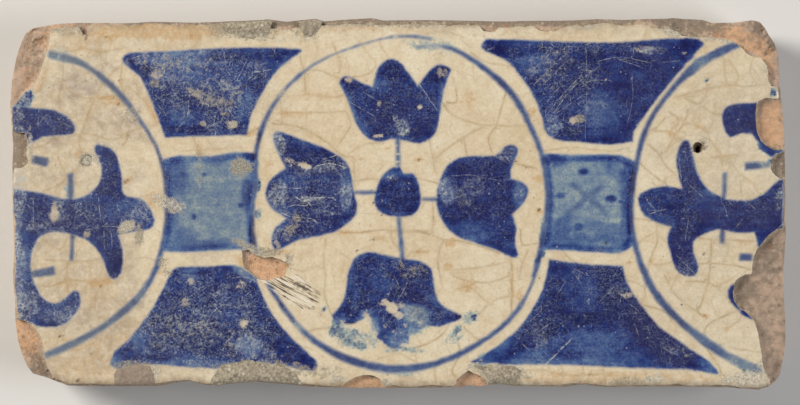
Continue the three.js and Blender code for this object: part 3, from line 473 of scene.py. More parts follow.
# Scuffs that have gone white, and painted highlights: the spots along the rolled left and right ends are
# painted sheen, and some spots on the tulips are painted glints.
SCUFFS_AND_SHEEN = [
    (-64, 18, 1.3, 1.3, 0, 0.8), (-64.4, 14, 0.9, 2.2, 0, 0.6), (-44.4, 24.6, 1.4, 1, 0, 0.6),
    (-30, 18.8, 3, 2.4, 0, 0.3), (-24, 23, 2.4, 1.6, 0, 0.3), (-36.6, 18, 1.6, 2.6, 0, 0.2),
    (-28.6, -15.6, 3, 2.6, 0, 0.15), (-34, -21, 5, 2.4, 0, 0.25), (-41, -24, 3, 2, 40, 0.3),
    (25, 23.6, 3, 2.4, 30, 0.3), (23.6, -22.6, 1.6, 2.4, -20, 0.35), (-64.6, -12, 1.2, 8, 0, 0.7),
    (-65.3, -5, 0.6, 10, 0, 1.3), (-64.7, -8, 0.9, 12, 0, 0.9), (-62.5, -17, 1.8, 2.4, 0, 0.7),
    (-8.8, 1.8, 0.9, 2.8, 0, 1), (-20.2, 10.2, 0.9, 1.6, 20, 1.3), (-20.4, 1.6, 1.6, 2.4, 0, 1.25),
    (0.8, 13, 0.9, 1.1, 0, 1.2), (-0.4, 14.4, 0.3, 0.8, 20, 0.9), (8.2, 2.4, 1, 2.4, 0, 1),
    (-0.8, 4.5, 2, 0.6, 8, 0.7), (20.6, 1.6, 0.8, 1, 0, 0.6), (-20.4, -5.4, 1.4, 1.6, 30, 0.7),
    (-15.4, 0.9, 1.8, 0.4, 0, 0.9), (-37, 24.6, 8, 1.4, 3, 0.5), (-40, 20.6, 1.4, 1, 0, 0.5),
    (43.2, 26, 1.8, 0.5, 0, 0.7), (-12, 6.2, 5, 0.7, 10, 0.6), (-58, -19.4, 4, 1.4, 0, 0.5),
    (-25.4, -23.4, 1.6, 1.4, 0, 0.7), (-25.6, -12.2, 1.6, 0.8, -40, 0.6),
    (26.4, 13.4, 1.2, 1.6, 0, 0.6), (-60, -4.2, 3.6, 1.2, 0, 0.4), (1.6, -17.8, 0.8, 1, -20, 0.5),
    (-64.4, 3, 1, 3, 0, 1), (64.9, 2, 1, 2.4, 0, 0.8), (6.5, 26.6, 2, 0.4, -20, 0.8),
    (-22.4, -25.6, 3, 1.4, -30, 0.5), (-46, 24, 0.8, 1.6, 30, 0.5), (12, 2, 1.6, 2.4, -30, 0.45),
    (-12, -1.4, 2.4, 0.4, -10, 0.7), (-58, -1.2, 1.4, 2, 0, 0.5), (-44, 0, 1, 0.8, 0, 0.6),
    (18.5, 8.4, 1.2, 1.4, -50, 0.6), (-34, -27, 4, 0.6, 0, 0.4), (-29.5, 20.3, 1, 1, 0, 0.7),
    (15.5, 26.6, 0.9, 0.6, 0, 0.6), (-57.4, 25.1, 0.5, 0.8, 0, 0.9), (-43.8, -1.8, 2, 1.6, 0, 0.5),
    (-0.6, -23, 2.6, 1.2, 0, 0.45), (34, 16.6, 2, 1, 0, 0.3), (46.5, -25, 2, 0.6, -30, 0.45),
]
# Mortar and sand stuck to the glaze.
GRIT = [
    (-26.6, 6.2, 1.8, 1.4, 0, 1), (-38.8, 0, 2.2, 1, -20, 0.9), (-40.8, 1, 0.9, 0.7, 0, 0.8),
    (-25.4, -7.6, 2.4, 0.7, -28, 0.9), (-22.6, -8.1, 2.6, 0.7, 0, 0.9), (-18.6, -9.8, 0.7, 1.4, 0, 0.7),
    (-44, -5.3, 0.7, 1.5, 0, 0.8), (-46, -3.8, 1.4, 0.8, 20, 0.9), (-33.9, 6.5, 0.6, 3.5, 0, 0.35),
    (-41.4, 20.3, 0.9, 0.7, 0, 0.6), (-34, 18.9, 1.7, 0.6, -25, 0.5), (-31, 17.4, 2.6, 0.9, -8, 0.45),
    (-29.4, 15.8, 0.6, 1.1, 0, 0.45), (-28.3, 13.5, 0.7, 0.6, 0, 0.8), (-33.1, 13.7, 0.6, 0.5, 0, 0.7),
    (-45.2, 15, 1.4, 1.1, 0, 0.4), (17.6, -28.8, 4.2, 1.2, 0, 0.8), (13, -27.6, 1.4, 0.6, 20, 0.7),
    (59.5, -29.6, 4, 1.2, 0, 0.8), (62.2, -27.4, 1, 1.8, 0, 0.8), (39.5, -30.2, 4, 0.7, 0, 0.6),
    (43.5, -29.8, 1.8, 0.8, 0, 0.8), (-40, -9.8, 0.9, 1, 0, 0.7), (-39.2, -11.6, 0.8, 0.6, 0, 0.8),
    (-17.8, -3.6, 0.8, 1.8, -35, 0.45), (-19, -5.6, 0.7, 1.2, -35, 0.45), (3.2, -11.4, 2, 0.8, 5, 0.3),
    (0.3, -10.5, 0.6, 1, 0, 0.3), (-26, 29.6, 5.6, 1.6, 0, 0.7), (-15.6, 29.6, 2.2, 1.5, 0, 0.6),
    (-21, 30.3, 3.4, 0.9, 0, 0.8), (51.9, 10.2, 0.9, 1.1, 0, 0.6), (63.2, 22.5, 0.5, 2.8, 10, 0.8),
    (62.6, 25.4, 1.4, 0.5, -20, 0.8), (54, 28, 4, 0.5, -8, 0.7), (46.5, 29.4, 1.8, 0.6, -25, 0.8),
    (31, 30.3, 2.6, 0.4, 0, 0.7), (-41.4, -29, 0.7, 1.6, -20, 0.8), (-2, -30.4, 1, 0.5, -30, 0.8),
    (-10.2, -29.9, 1.2, 0.5, 20, 0.8), (0, 30.5, 14, 0.45, 0, 0.6), (-19.6, 19.2, 1.2, 0.5, 60, 0.7),
    (31, 14.4, 0.8, 0.6, 0, 0.7), (-62.5, 10, 0.4, 2.6, 0, 0.8), (48.6, -25.2, 1.6, 0.6, -35, 0.3),
    (-52.9, -5.3, 0.6, 0.6, 0, 0.8), (-64.6, -19, 0.6, 0.5, 0, 0.8), (-24, -28.4, 10, 1.4, 0, 0.62),
    (-45, -27.4, 3.6, 0.6, 0, 0.6), (-58, 29.6, 3, 0.6, 0, 0.6), (-52.9, 7.2, 1.25, 1.25, 0, 1),
    (-41, 24.2, 4.5, 1.6, 5, 0.25), (-54.6, 29.6, 3.4, 0.9, 8, 0.6), (-51.4, 7.6, 0.6, 1, 10, 0.7),
    (-33, 21, 7, 2.5, -10, 0.12), (-36, -21, 7, 3, 0, 0.12), (-27, -24.4, 3, 2, 0, 0.15),
    (27, 23, 4, 3, 40, 0.12),
]
# Where that grit is white with lime.
LIME = [
    (-38.8, 0, 2.6, 1.2, -20, 1), (-40.8, 1, 1.2, 1, 0, 1), (-46, -3.8, 1.6, 1, 20, 0.7),
    (19.6, -28.2, 1.6, 1, 0, 1), (13, -27.6, 1.6, 0.8, 20, 0.7), (59.5, -29.6, 4.4, 1.4, 0, 1.3),
    (62.2, -27.4, 1.2, 2, 0, 1.2), (43.5, -29.8, 2, 1, 0, 1.3), (63.2, 22.5, 0.8, 3, 10, 1),
    (62.6, 25.4, 1.8, 0.8, -20, 0.9), (54, 28, 4.4, 0.8, -8, 0.8), (46.5, 29.4, 2.2, 0.8, -25, 1),
    (31, 30.3, 3, 0.6, 0, 0.8), (-41.4, -29, 1, 2, -20, 1), (-2, -30.4, 1.2, 0.8, -30, 1),
    (-10.2, -29.9, 1.4, 0.8, 20, 0.8), (-19.6, 19.2, 1.4, 0.8, 60, 0.9), (-62.5, 10, 0.7, 3, 0, 0.8),
    (-64.6, -19, 0.8, 0.8, 0, 1), (-25.4, -7.6, 2.6, 1, -28, 0.4), (-28.3, 13.5, 1, 0.9, 0, 0.4),
    (-51.6, 7.5, 0.8, 1.2, 10, 1.1), (-54.6, 29.6, 4, 1.2, 8, 0.4),
]
# Rusty brown stains in the bare glaze, and dark pits and chips.
RUST = [
    (22.5, 15.5, 1, 0.8, 0, 1), (24, 4.2, 0.9, 0.8, 0, 1), (9, -6.6, 0.7, 0.7, 0, 1.8),
    (8.6, -10.6, 0.7, 0.6, 0, 1.5), (11.8, -14, 1.3, 0.8, 0, 0.8), (3.4, 7.5, 0.7, 0.4, 0, 1.2),
    (4.2, -8, 0.9, 0.6, 0, 0.6), (12, 17.7, 1.2, 1.6, 0, 0.7), (-48.5, 17.6, 2.6, 0.6, -10, 0.9),
    (-41.6, 15.6, 0.9, 2, 25, 0.8), (-18.5, 15.4, 2.6, 0.4, 0, 0.8), (-15.4, 18.4, 1.6, 0.5, 5, 0.6),
    (-14, 18.2, 4, 0.6, 4, 0.35), (39.6, 5.2, 0.8, 1.6, 0, 0.3), (-24.4, 12.3, 1.2, 0.6, 35, 1.2),
    (56.4, 13, 1.4, 1, 0, 0.3), (-10, 29.7, 16, 0.7, 0, 0.5), (-42, 29.4, 12, 1.4, 0, 1.1),
    (-55, 27.6, 5, 2, 0, 0.4), (-50.5, -13.4, 2, 0.7, 0, 0.9), (-56.6, -13.8, 2.4, 0.4, 0, 0.5),
    (-50, -26, 12, 4, 0, 0.4), (20.8, -16, 0.6, 1.4, 10, 0.9), (24, -1.2, 0.6, 0.6, 0, 1),
    (19.4, -13, 0.4, 3, 0, 0.6), (-3.4, -5.6, 1.2, 0.5, -20, 0.7), (-9, -4.8, 2.6, 0.5, 0, 0.4),
    (36, -29.6, 18, 1, 0, 0.6), (-26.5, -9.4, 1.6, 1.2, -30, 1.1), (-20.8, -8.2, 2.4, 0.5, 0, 0.9),
    (-60.6, 21, 0.5, 2.2, -25, 0.9), (-53.6, 8.4, 1.4, 0.8, 0, 0.6), (-53, -14, 5, 4, 0, 0.2),
    (-7.4, 7.6, 0.9, 0.5, 0, 0.7), (-1.8, 9.5, 0.5, 0.4, 0, 0.7), (20.4, 7.2, 0.4, 0.3, 0, 0.9),
    (35, 4.4, 0.7, 0.7, 0, 1), (43.1, -9.6, 0.5, 0.5, 0, 0.8), (39.3, -9.9, 0.5, 0.3, 0, 1),
    (56.1, -21.2, 0.6, 0.4, 0, 1), (46.3, 12, 1.2, 0.6, -30, 0.6), (51.3, 13.2, 0.7, 0.6, 0, 0.5),
    (46.9, 14, 0.9, 0.6, 50, 0.5), (55.2, 8.2, 0.8, 0.3, 0, 0.8), (58.4, -6.4, 1.4, 0.3, 0, 0.6),
    (-46.2, 3.9, 0.7, 0.5, 50, 1.2), (-47.1, 20.8, 0.3, 0.3, 0, 1), (-33.8, 9.2, 0.5, 1.4, 0, 0.7),
    (-41.6, 0.6, 1.4, 1.4, 0, 0.7), (24.7, 29.2, 0.9, 0.6, 0, 0.8), (-24, -29, 8, 0.6, 0, 0.3),
    (3.6, -29.6, 3, 0.6, 0, 0.4), (-57.2, -22.5, 0.5, 0.5, 0, 1), (-40.6, -10.6, 1, 1.4, 0, 0.5),
    (-22, 6, 0.8, 3, 0, 0.5), (-9.6, -11.4, 0.3, 0.6, 0, 0.9), (22.7, 9.7, 0.3, 0.6, 0, 0.5),
    (52.3, -19.1, 0.7, 0.5, 0, 1.2), (-22.2, 14.6, 0.5, 0.5, 0, 0.5),
]
DARK_DOTS = [
    (-16.4, -14, 1.7, 0.3, -30, 1.1), (52.2, -19.2, 0.3, 0.3, 0, 1), (-47.4, 20.9, 0.18, 0.2, 0, 1),
    (3.3, 7.5, 0.25, 0.25, 0, 1.2), (-2.8, -1.9, 0.3, 0.2, 0, 1.2), (-4.2, 0.2, 0.18, 0.2, 0, 1.2),
    (-10.4, -5.7, 0.15, 0.15, 0, 1.2), (-7.1, -7.9, 0.15, 0.15, 0, 1.2), (24, -1.1, 0.18, 0.18, 0, 1.2),
    (39.2, -9.9, 0.18, 0.18, 0, 1.2), (-54.5, -29.9, 0.2, 0.2, 0, 1.3),
    (-57.3, -22.4, 0.3, 0.3, 0, 1.2), (20.1, 7.2, 0.2, 0.15, 0, 1.2),
    (-50.7, -13.8, 0.13, 0.5, 10, 0.9), (-52.1, -25.5, 0.12, 0.45, 10, 0.9),
    (31.6, 9.7, 0.15, 0.2, 0, 1.2), (35.2, 9.1, 0.15, 0.15, 0, 1.2), (23.3, 5.7, 0.15, 0.15, 0, 1.2),
    (-4.2, -6.1, 0.3, 0.25, 0, 0.6), (-46.3, 3.8, 0.25, 0.4, -30, 0.8), (55, 11.2, 0.12, 0.12, 0, 1),
    (52, -8.4, 0.15, 0.15, 0, 1), (10.8, 18.4, 0.12, 0.12, 0, 1), (-52.8, 21, 0.2, 0.12, 0, 1),
    (-36.4, 7.8, 0.1, 0.1, 0, 1), (29.4, 6.2, 0.12, 0.12, 0, 1), (35.4, -6.6, 0.2, 0.2, 0, 1),
    (-47.6, 17, 0.15, 0.2, 0, 0.7), (-48.4, 18.2, 0.2, 0.2, 0, 0.9), (-45.8, 11.2, 0.2, 0.5, 0, 0.8),
    (16, 7.9, 0.1, 0.1, 0, 1), (12.1, 11.2, 0.1, 0.1, 0, 1), (19, 12.8, 0.1, 0.1, 0, 1),
    (-52.9, 7.2, 0.9, 0.9, 0, 0.5), (51.6, 9.9, 0.9, 1, 20, 0.75), (-59.7, 22.8, 0.3, 0.2, 0, 1),
    (15.2, 30.2, 1.2, 0.5, 0, 1), (-15.4, 29.6, 0.9, 0.7, 0, 0.7), (-49.3, 28.5, 0.2, 0.2, 0, 0.7),
    (-53.2, 28.6, 0.2, 0.8, 20, 0.8), (58.8, -28.3, 0.3, 0.3, 0, 0.9), (32.6, -29.1, 0.3, 0.15, 0, 0.7),
]
# Where the glaze has gone grey.
DULL = [
    (-32, 0, 7, 9, 0, 0.8), (-54, 17, 9, 12, 0, 1.3), (-52, -19, 9, 10, 0, 1.2),
    (-58, -2, 13, 34, 0, 1), (-44, -24, 14, 9, 0, 0.6), (-44, 24, 14, 9, 0, 0.5),
    (58, 8, 12, 16, 0, 0.55), (0, 31.4, 70, 2.2, 0, 0.9), (0, -31.2, 70, 1.2, 0, 0.8),
    (-22, 18, 3, 9, 30, 0.3), (50, -20, 14, 10, 0, 0.3),
]
# Where the paint is full of fine scratches.
SCUFFED = [
    (-33, 20, 12, 9, 0, 1.1), (-34, -20, 14, 9, 0, 1.25), (-15, 2, 9, 9, 0, 0.8), (8, 3, 3, 6, 0, 0.6),
    (15, 1, 8, 8, 0, 0.5), (-1, 17, 9, 8, 0, 0.5), (-1, -14, 12, 9, 0, 0.6), (27, 20, 8, 9, 0, 0.75),
    (40, 20, 8, 8, 0, 0.3), (30, 26.6, 10, 1.2, 0, 1), (24, -20, 5, 9, 0, 0.75),
    (36, -13, 5, 4, 0, 0.8), (34, -22, 9, 5, 0, 0.4), (46, -24, 5, 3, -30, 0.5),
    (-58, -2, 10, 5, 0, 0.8), (-62, -14, 3, 9, 0, 1), (-58, -18, 7, 3, 0, 0.9), (-59, 14, 7, 3, 0, 0.6),
    (-49, 2, 4, 9, 0, 0.6), (49, 3, 3, 9, 0, 0.6), (60, -1, 7, 3, 0, 0.4), (43, 0, 3, 3, 0, 0.5),
    (58, 14, 3, 3, 0, 0.3), (49, -10, 2, 3, 0, 0.6), (-37, 3, 4, 6, 0, 0.8), (0, 1.5, 4, 4, 0, 0.4),
    (-45, -1, 3, 3, 0, 0.9), (38, 3, 2, 6, 0, 0.5),
]
# The patch scraped by a tool, beside the broken ring.
SCORED = [(-17.6, -14.9, 5.6, 1.7, -27, 1.2), (-16.6, -13.8, 2.6, 1, -30, 1.3)]
# On the clay: fresh orange breaks, grimy ones, and hollows in the breaks.
FRESH = [
    (63.2, 13.6, 2.8, 4.6, 0, 0.9), (-22.5, -11, 4.5, 2.6, 0, 0.9), (-64, -22.6, 2.8, 4, -20, 0.9),
    (-5.7, -30.6, 3.6, 2.2, 0, 1.3), (12.6, -30.4, 2.8, 2.2, 0, 0.7), (-58, 29.6, 5, 2.4, 30, 0.4),
    (57.5, 28.2, 5, 1.8, -20, 1), (62, 23, 1.6, 3, 0, 0.8), (-62.5, 22, 1.6, 3, 20, 0.3),
]
GRIME = [
    (-60, -28.6, 4, 2, -40, 0.65), (58.8, -15, 2.6, 3.6, 0, 0.7), (63, -9, 3, 4, 0, 0.6),
    (63.6, -22, 3, 7, 0, 0.3), (-64.4, 9, 2.4, 4, 0, 1), (50, 30.2, 6, 2, 0, 0.8),
    (62, 29, 4, 3, -30, 0.35), (-63, 26, 4, 5, 20, 0.45), (0, 31.3, 45, 1.2, 0, 1.4),
    (64.2, 6, 2, 3, 0, 0.9), (51.2, 9.4, 1.6, 1.8, 0, 1),
]
SCOOPS = [
    (-66.5, 29, 5, 5, 0, 2.2), (-64.5, 22, 2.6, 4, 20, 0.7), (58.9, -15, 2, 2.8, 0, 0.25),
    (64.5, -20, 2.6, 7, 0, 0.5), (65, -31, 3.2, 3.4, 0, 2), (66, 31, 5, 4, -30, 2),
    (53, 30.2, 6, 1.6, 0, 0.6), (-62.5, -28.5, 4, 3.6, -40, 0.9), (64, 13.5, 2.2, 4, 0, 0.25),
    (-22.5, -11, 3, 1.6, -10, 0.25), (-5.7, -31, 2.4, 2, 0, 0.2), (12.4, -30.6, 1.8, 1.8, 0, 0.2),
    (-53.2, 30.6, 1.4, 1.8, 0, 0.6), (62.8, -8, 1.6, 3, 20, 0.4),
]
# The nail went in slanting: within the broken mouth of the right hole, a narrower part of it goes deeper. On
# the clay, that part is painted near black as painted shadow.
NAIL_SHAFT = [(50.9, 9.2, 0.32, 0.7, -18, 1.4)]

# Craze lines and scratches, listed: how strongly each shows, and points along it.
CRAZES = [
    (0.7, (-16.6, 24.9), (-15.9, 22.3), (-15.7, 19.2)),
    (0.8, (-16, 22.6), (-13.5, 22.7), (-11.1, 21.8), (-9.2, 21)),
    (0.6, (-11.1, 27.5), (-9.8, 24.1), (-10, 22.3)),
    (0.6, (-6.5, 27.5), (-4.9, 25.3), (-3.7, 23.8), (-5.2, 22), (-7.4, 21.6)),
    (0.6, (-19.4, 15.5), (-14.8, 15.6), (-11.7, 15.5), (-9.2, 15.8)),
    (0.6, (-8.6, 15.5), (-8, 13.3), (-8.9, 11.8), (-10, 10.3)),
    (0.6, (-15.5, 14.9), (-15.7, 13), (-15.2, 11.8)),
    (0.9, (-21.2, 13.6), (-17.8, 13.3), (-14.8, 12.2), (-11.7, 10.2), (-9.5, 8.3), (-7.4, 7.8)),
    (0.6, (-20.3, 18.3), (-19.8, 16.1), (-19.6, 13.6)),
    (0.5, (-18.8, 18.3), (-15, 18.6), (-11, 18.2), (-8.8, 18.6)),
    (0.8, (9.4, 21.4), (9.9, 19.4), (10, 17.3), (8.6, 17.2)),
    (0.7, (7.7, 17), (9.2, 15.2), (12.9, 13.7), (16, 13.3), (21.5, 13.3)),
    (0.9, (18.7, 19.8), (17.5, 16.1), (16.6, 13.3), (15.4, 11.2), (16, 8.7)),
    (0.7, (14.5, 13), (11.4, 11.5), (8.3, 9.3), (6.2, 7.2), (6.5, 5.3)),
    (0.6, (11.1, 11.5), (11.7, 8.4)), (0.6, (5.3, 11.2), (5.6, 9.4), (6.2, 7.3)),
    (0.5, (-7.7, 9), (-5.5, 10.3), (-2.5, 10.3)), (0.8, (-7.7, 3.8), (-4.9, 4.3), (-3.7, 4.1)),
    (0.8, (3.7, 4.3), (6.8, 3.5)), (0.7, (-7.6, 7.4), (-7.3, 4.6), (-7.5, 2)),
    (0.9, (19.7, 6.9), (23.4, 6.1)), (0.6, (12.6, 25.6), (15, 24.1), (19, 23.5)),
    (0.5, (-2.6, 29.4), (-2.9, 27), (-1.6, 25)), (0.5, (2, 29.6), (4.6, 29), (8, 29.3), (11, 28.4)),
    (0.5, (17.6, 28.6), (19, 29.8)),
    (0.9, (-10, -4.7), (-6.8, -4.9), (-2.5, -4.4), (0, -4.5), (6, -4.7)), (0.9, (6, -4.7), (6, -0.2)),
    (0.8, (0.6, -4.9), (4.3, -4.9), (8, -6.1), (11, -6.4), (17, -8.2)),
    (0.8, (8, -6.1), (7.1, -7.9), (6.8, -10.1), (7.4, -13.2)),
    (1, (19.2, -8.6), (19.4, -12), (19.4, -14.4), (19.3, -18.4)),
    (0.8, (9.4, -12.2), (10.8, -12.8), (14.5, -13.4), (16.9, -13), (19.4, -12)),
    (0.7, (10.2, -14.4), (12.3, -14.1), (15.4, -16.9), (16.9, -16.1), (19.4, -15.6)),
    (0.8, (15.4, -16.9), (13.8, -18.7), (12.8, -19.4)), (0.6, (9.8, -11.3), (14.5, -10.7), (19, -9.8)),
    (0.8, (20.9, -4.6), (21.2, -7), (23.8, -6.7)), (0.8, (22, -8), (21, -10.6), (20.6, -12.4)),
    (0.6, (-12.2, -6), (-12.6, -9.2), (-12.3, -12.6), (-12.5, -15.6), (-11.4, -18.7)),
    (0.5, (-18.8, -10.6), (-16.4, -11.4), (-13.8, -10.6), (-12.4, -11.6)),
    (0.6, (-16.3, -22.1), (-13.8, -21.3), (-11.1, -21)), (0.7, (11.4, -21.2), (13.8, -23.2)),
    (0.8, (3.1, -24.4), (5.5, -23.6), (7.6, -22.2), (8.6, -20.8)),
    (0.7, (-2.5, -24.1), (0.6, -25.6), (3.1, -26.9)),
    (0.7, (9.6, -21.6), (10.5, -25.2), (9.2, -28.4), (10.4, -30)), (0.7, (6.2, -28.2), (6.5, -30.7)),
    (0.5, (-3.4, -26.4), (0.2, -25.2)), (0.5, (-10.4, -8), (-8.4, -9.2)),
    (0.6, (0.5, -7.9), (-1, -6.4), (-1.2, -4.4)), (0.6, (1.2, -9.4), (2.4, -8.2), (5, -8.2)),
    (0.6, (-52.9, 28.2), (-52.7, 24.8)),
    (0.7, (-58.4, 26), (-56.6, 25.9), (-53.2, 26.4), (-50.8, 25.8), (-47.1, 26.4)),
    (0.5, (-49.1, 30.3), (-48.5, 28.3), (-49.1, 26.2)),
    (1, (-53.7, 11.5), (-52.9, 14.7), (-51.7, 17.6), (-50.3, 20.2), (-48.6, 22.2), (-46.8, 23.8)),
    (0.7, (-56.9, 23.8), (-57, 21), (-57.6, 18.4), (-57.5, 16.4)),
    (0.8, (-57.4, 20.6), (-54.6, 18.4), (-51.4, 17.9), (-48.5, 18.4), (-47.1, 17.6)),
    (0.7, (-51.4, 17.7), (-49.4, 16.9), (-48.2, 17.2)),
    (0.7, (-55.5, 11.8), (-52, 11.8), (-48.5, 10.9), (-45.1, 12.4), (-43.6, 12.9)),
    (1, (-54, 11.8), (-54.2, 10.3), (-53.9, 8.9)),
    (0.8, (-46.6, 14.3), (-47.2, 12.6), (-46, 11.2), (-46.8, 9.9)),
    (0.9, (-57.8, 7.8), (-56.9, 6), (-56.3, 4.3), (-58.3, 2.9), (-60.1, 2.2)),
    (0.7, (-56.3, 4.3), (-54.6, 6), (-53.8, 7)), (0.6, (-63, 9.4), (-60.4, 9.9), (-57.8, 11.2)),
    (0.9, (-34.7, 11.2), (-34.2, 9.6), (-33.8, 7.9)), (1, (-25.8, 11.7), (-24.6, 12.4), (-23.6, 12.9)),
    (0.8, (-46.8, 23.6), (-47.1, 21.3), (-46.6, 19)),
    (0.7, (-45.8, 19.9), (-43.6, 18), (-42.2, 16.6), (-41.4, 14.6)),
    (0.5, (-36.8, 9), (-33.8, 9.1), (-30, 9.4), (-26.4, 9.6)),
    (0.4, (-40, 29.9), (-39.4, 28), (-40, 26.8)), (0.4, (-34.6, 30.2), (-33.6, 28.6), (-34.4, 27)),
    (0.8, (-59.8, -9.5), (-56.9, -9.7), (-54, -9.8), (-51, -9.4)),
    (1, (-56.2, -9.8), (-56.2, -13), (-56.1, -15.1)),
    (0.9, (-60.9, -13.9), (-58.3, -13.9), (-56.2, -13), (-53.4, -13.1), (-50.8, -13.4), (-49.3, -12.8)),
    (0.7, (-60.1, -6.2), (-57.5, -7.7), (-56.3, -5.9)),
    (0.5, (-52.6, -9.6), (-52.3, -12), (-53.2, -14.6), (-54.2, -15.3)),
    (0.5, (-49.5, -13.2), (-49.1, -15.2), (-46.8, -17.5)),
    (0.5, (-46.8, -9.6), (-43.1, -9.1), (-41, -9.8)),
    (0.5, (-50.9, -14.2), (-51.6, -17), (-50.8, -19.6)),
    (0.5, (-50.3, -20.9), (-49.4, -22.6), (-48.8, -24.1)),
    (0.5, (-57, -23), (-53.8, -24.2), (-50.8, -23.4)),
    (0.6, (-58.6, -16.9), (-57.4, -16.2), (-57.8, -14)), (0.4, (-44.6, -21.4), (-42.8, -20)),
    (0.4, (-57.6, -27.4), (-53.8, -28.2), (-49.6, -27.8)),
    (0.6, (55.2, 25.7), (55.5, 23.2), (55.8, 20.2)),
    (0.7, (47.2, 18.1), (50.5, 19), (55.8, 20.2), (59, 19.9), (62.4, 20.3)),
    (0.7, (48.7, 18), (50.8, 17), (53.4, 15.5), (55, 15.2)),
    (0.7, (46.4, 15.5), (47.7, 14.3), (46.9, 13.2), (46.1, 12.2)),
    (0.8, (49.3, 15.9), (48.9, 14.3), (47.2, 11.7), (45.5, 9), (44.3, 8.1)),
    (0.8, (42.8, 12.5), (46.1, 12.2), (48.1, 11)),
    (0.9, (42.8, 10), (44.6, 8.1), (45.5, 6.4), (47, 5.2)),
    (0.8, (41.3, 6.8), (43.4, 4.9), (45.5, 3.4)), (0.7, (45.8, 4.3), (44.3, 2.9), (43.4, 3.6)),
    (0.7, (45.4, 14.5), (44, 13.2), (42.8, 12.3), (42, 10.8)),
    (0.6, (53.4, 13.7), (52.8, 11.4), (54.9, 8.4), (55.2, 6.6)),
    (0.7, (53.8, 7.8), (54.9, 8.1), (57.6, 8.4)), (0.6, (47.6, 14.3), (51.1, 13.1), (52.8, 12)),
    (0.6, (56.4, 24.4), (57.8, 22), (57.4, 20.2)), (0.5, (60.4, 25), (59.8, 22.4), (61, 20.4)),
    (0.5, (51.4, 17), (52.6, 19.2), (52.4, 21)), (0.5, (58.4, 5), (60.4, 3.4), (61.4, 1.6)),
    (0.5, (54.8, 8.2), (57.8, 5.4), (58.4, 1.2)), (0.7, (39.9, -2.5), (43.1, -2.8), (46.1, -3.7)),
    (0.8, (44, -3.1), (44, -6.7), (42.8, -9.6), (42.2, -13.2), (41.6, -16.7)),
    (0.9, (53.4, -6.1), (53.1, -9.9), (52.8, -12.9), (51.7, -16.7), (50.8, -18.2)),
    (0.8, (50.9, -5.7), (53.4, -6.1), (57, -6.2), (60.2, -6.4)),
    (0.8, (51.2, -10.2), (53.1, -10.1), (57, -10.4), (59.9, -11.1)),
    (0.9, (45.5, -12.4), (46.7, -14.9), (49, -17), (51.4, -18.8), (52.3, -19.1)),
    (0.9, (41.3, -17), (43.1, -17.6), (45.5, -18.5), (47, -20.3)),
    (0.8, (49.2, -13.1), (52.8, -13.4), (54.6, -14.6), (56.4, -16.4), (57.6, -17.9)),
    (0.8, (58, -18), (54.9, -19.3), (52.8, -20.5), (51.7, -22.3)), (0.7, (57, -12.5), (54.6, -14)),
    (0.7, (56.4, -24.4), (57.9, -24.7), (60.2, -25), (62, -25.2)),
    (0.9, (50.5, -22.4), (52.8, -25), (54.3, -27.2), (54.9, -28.6)),
    (0.6, (28.1, -8.1), (29.2, -9.3), (30.2, -9.9)), (0.6, (47.6, -12), (46.4, -14.4), (47, -15.4)),
    (0.7, (27.8, -27.6), (28.1, -29.1), (27.6, -30.6)), (0.7, (31.5, -27.8), (31.6, -29.7)),
    (0.6, (34.9, -28), (35.2, -30.3)),
    (0.6, (21, -28.5), (24.5, -28.2), (28, -29.1), (32.8, -29.1), (37.2, -28.6)),
    (0.7, (38.9, -13), (41, -13.7), (42.2, -15.2), (41.9, -16)),
    (0.5, (43.4, -5), (41, -6.4), (40.4, -8.2)), (0.5, (46.6, -9.8), (44.8, -10.4), (42.6, -10.2)),
    (0.5, (55, -10.3), (56.2, -7.8), (55.8, -6.2)), (0.5, (55.6, -21.4), (57.8, -20), (58.6, -18.4)),
    (0.5, (24.6, 9), (30, 9.6), (36, 9), (39.4, 9.6)), (0.4, (30, 28.8), (31.2, 30.2)),
    (0.4, (41.8, 28.3), (42.4, 29.8)),
]
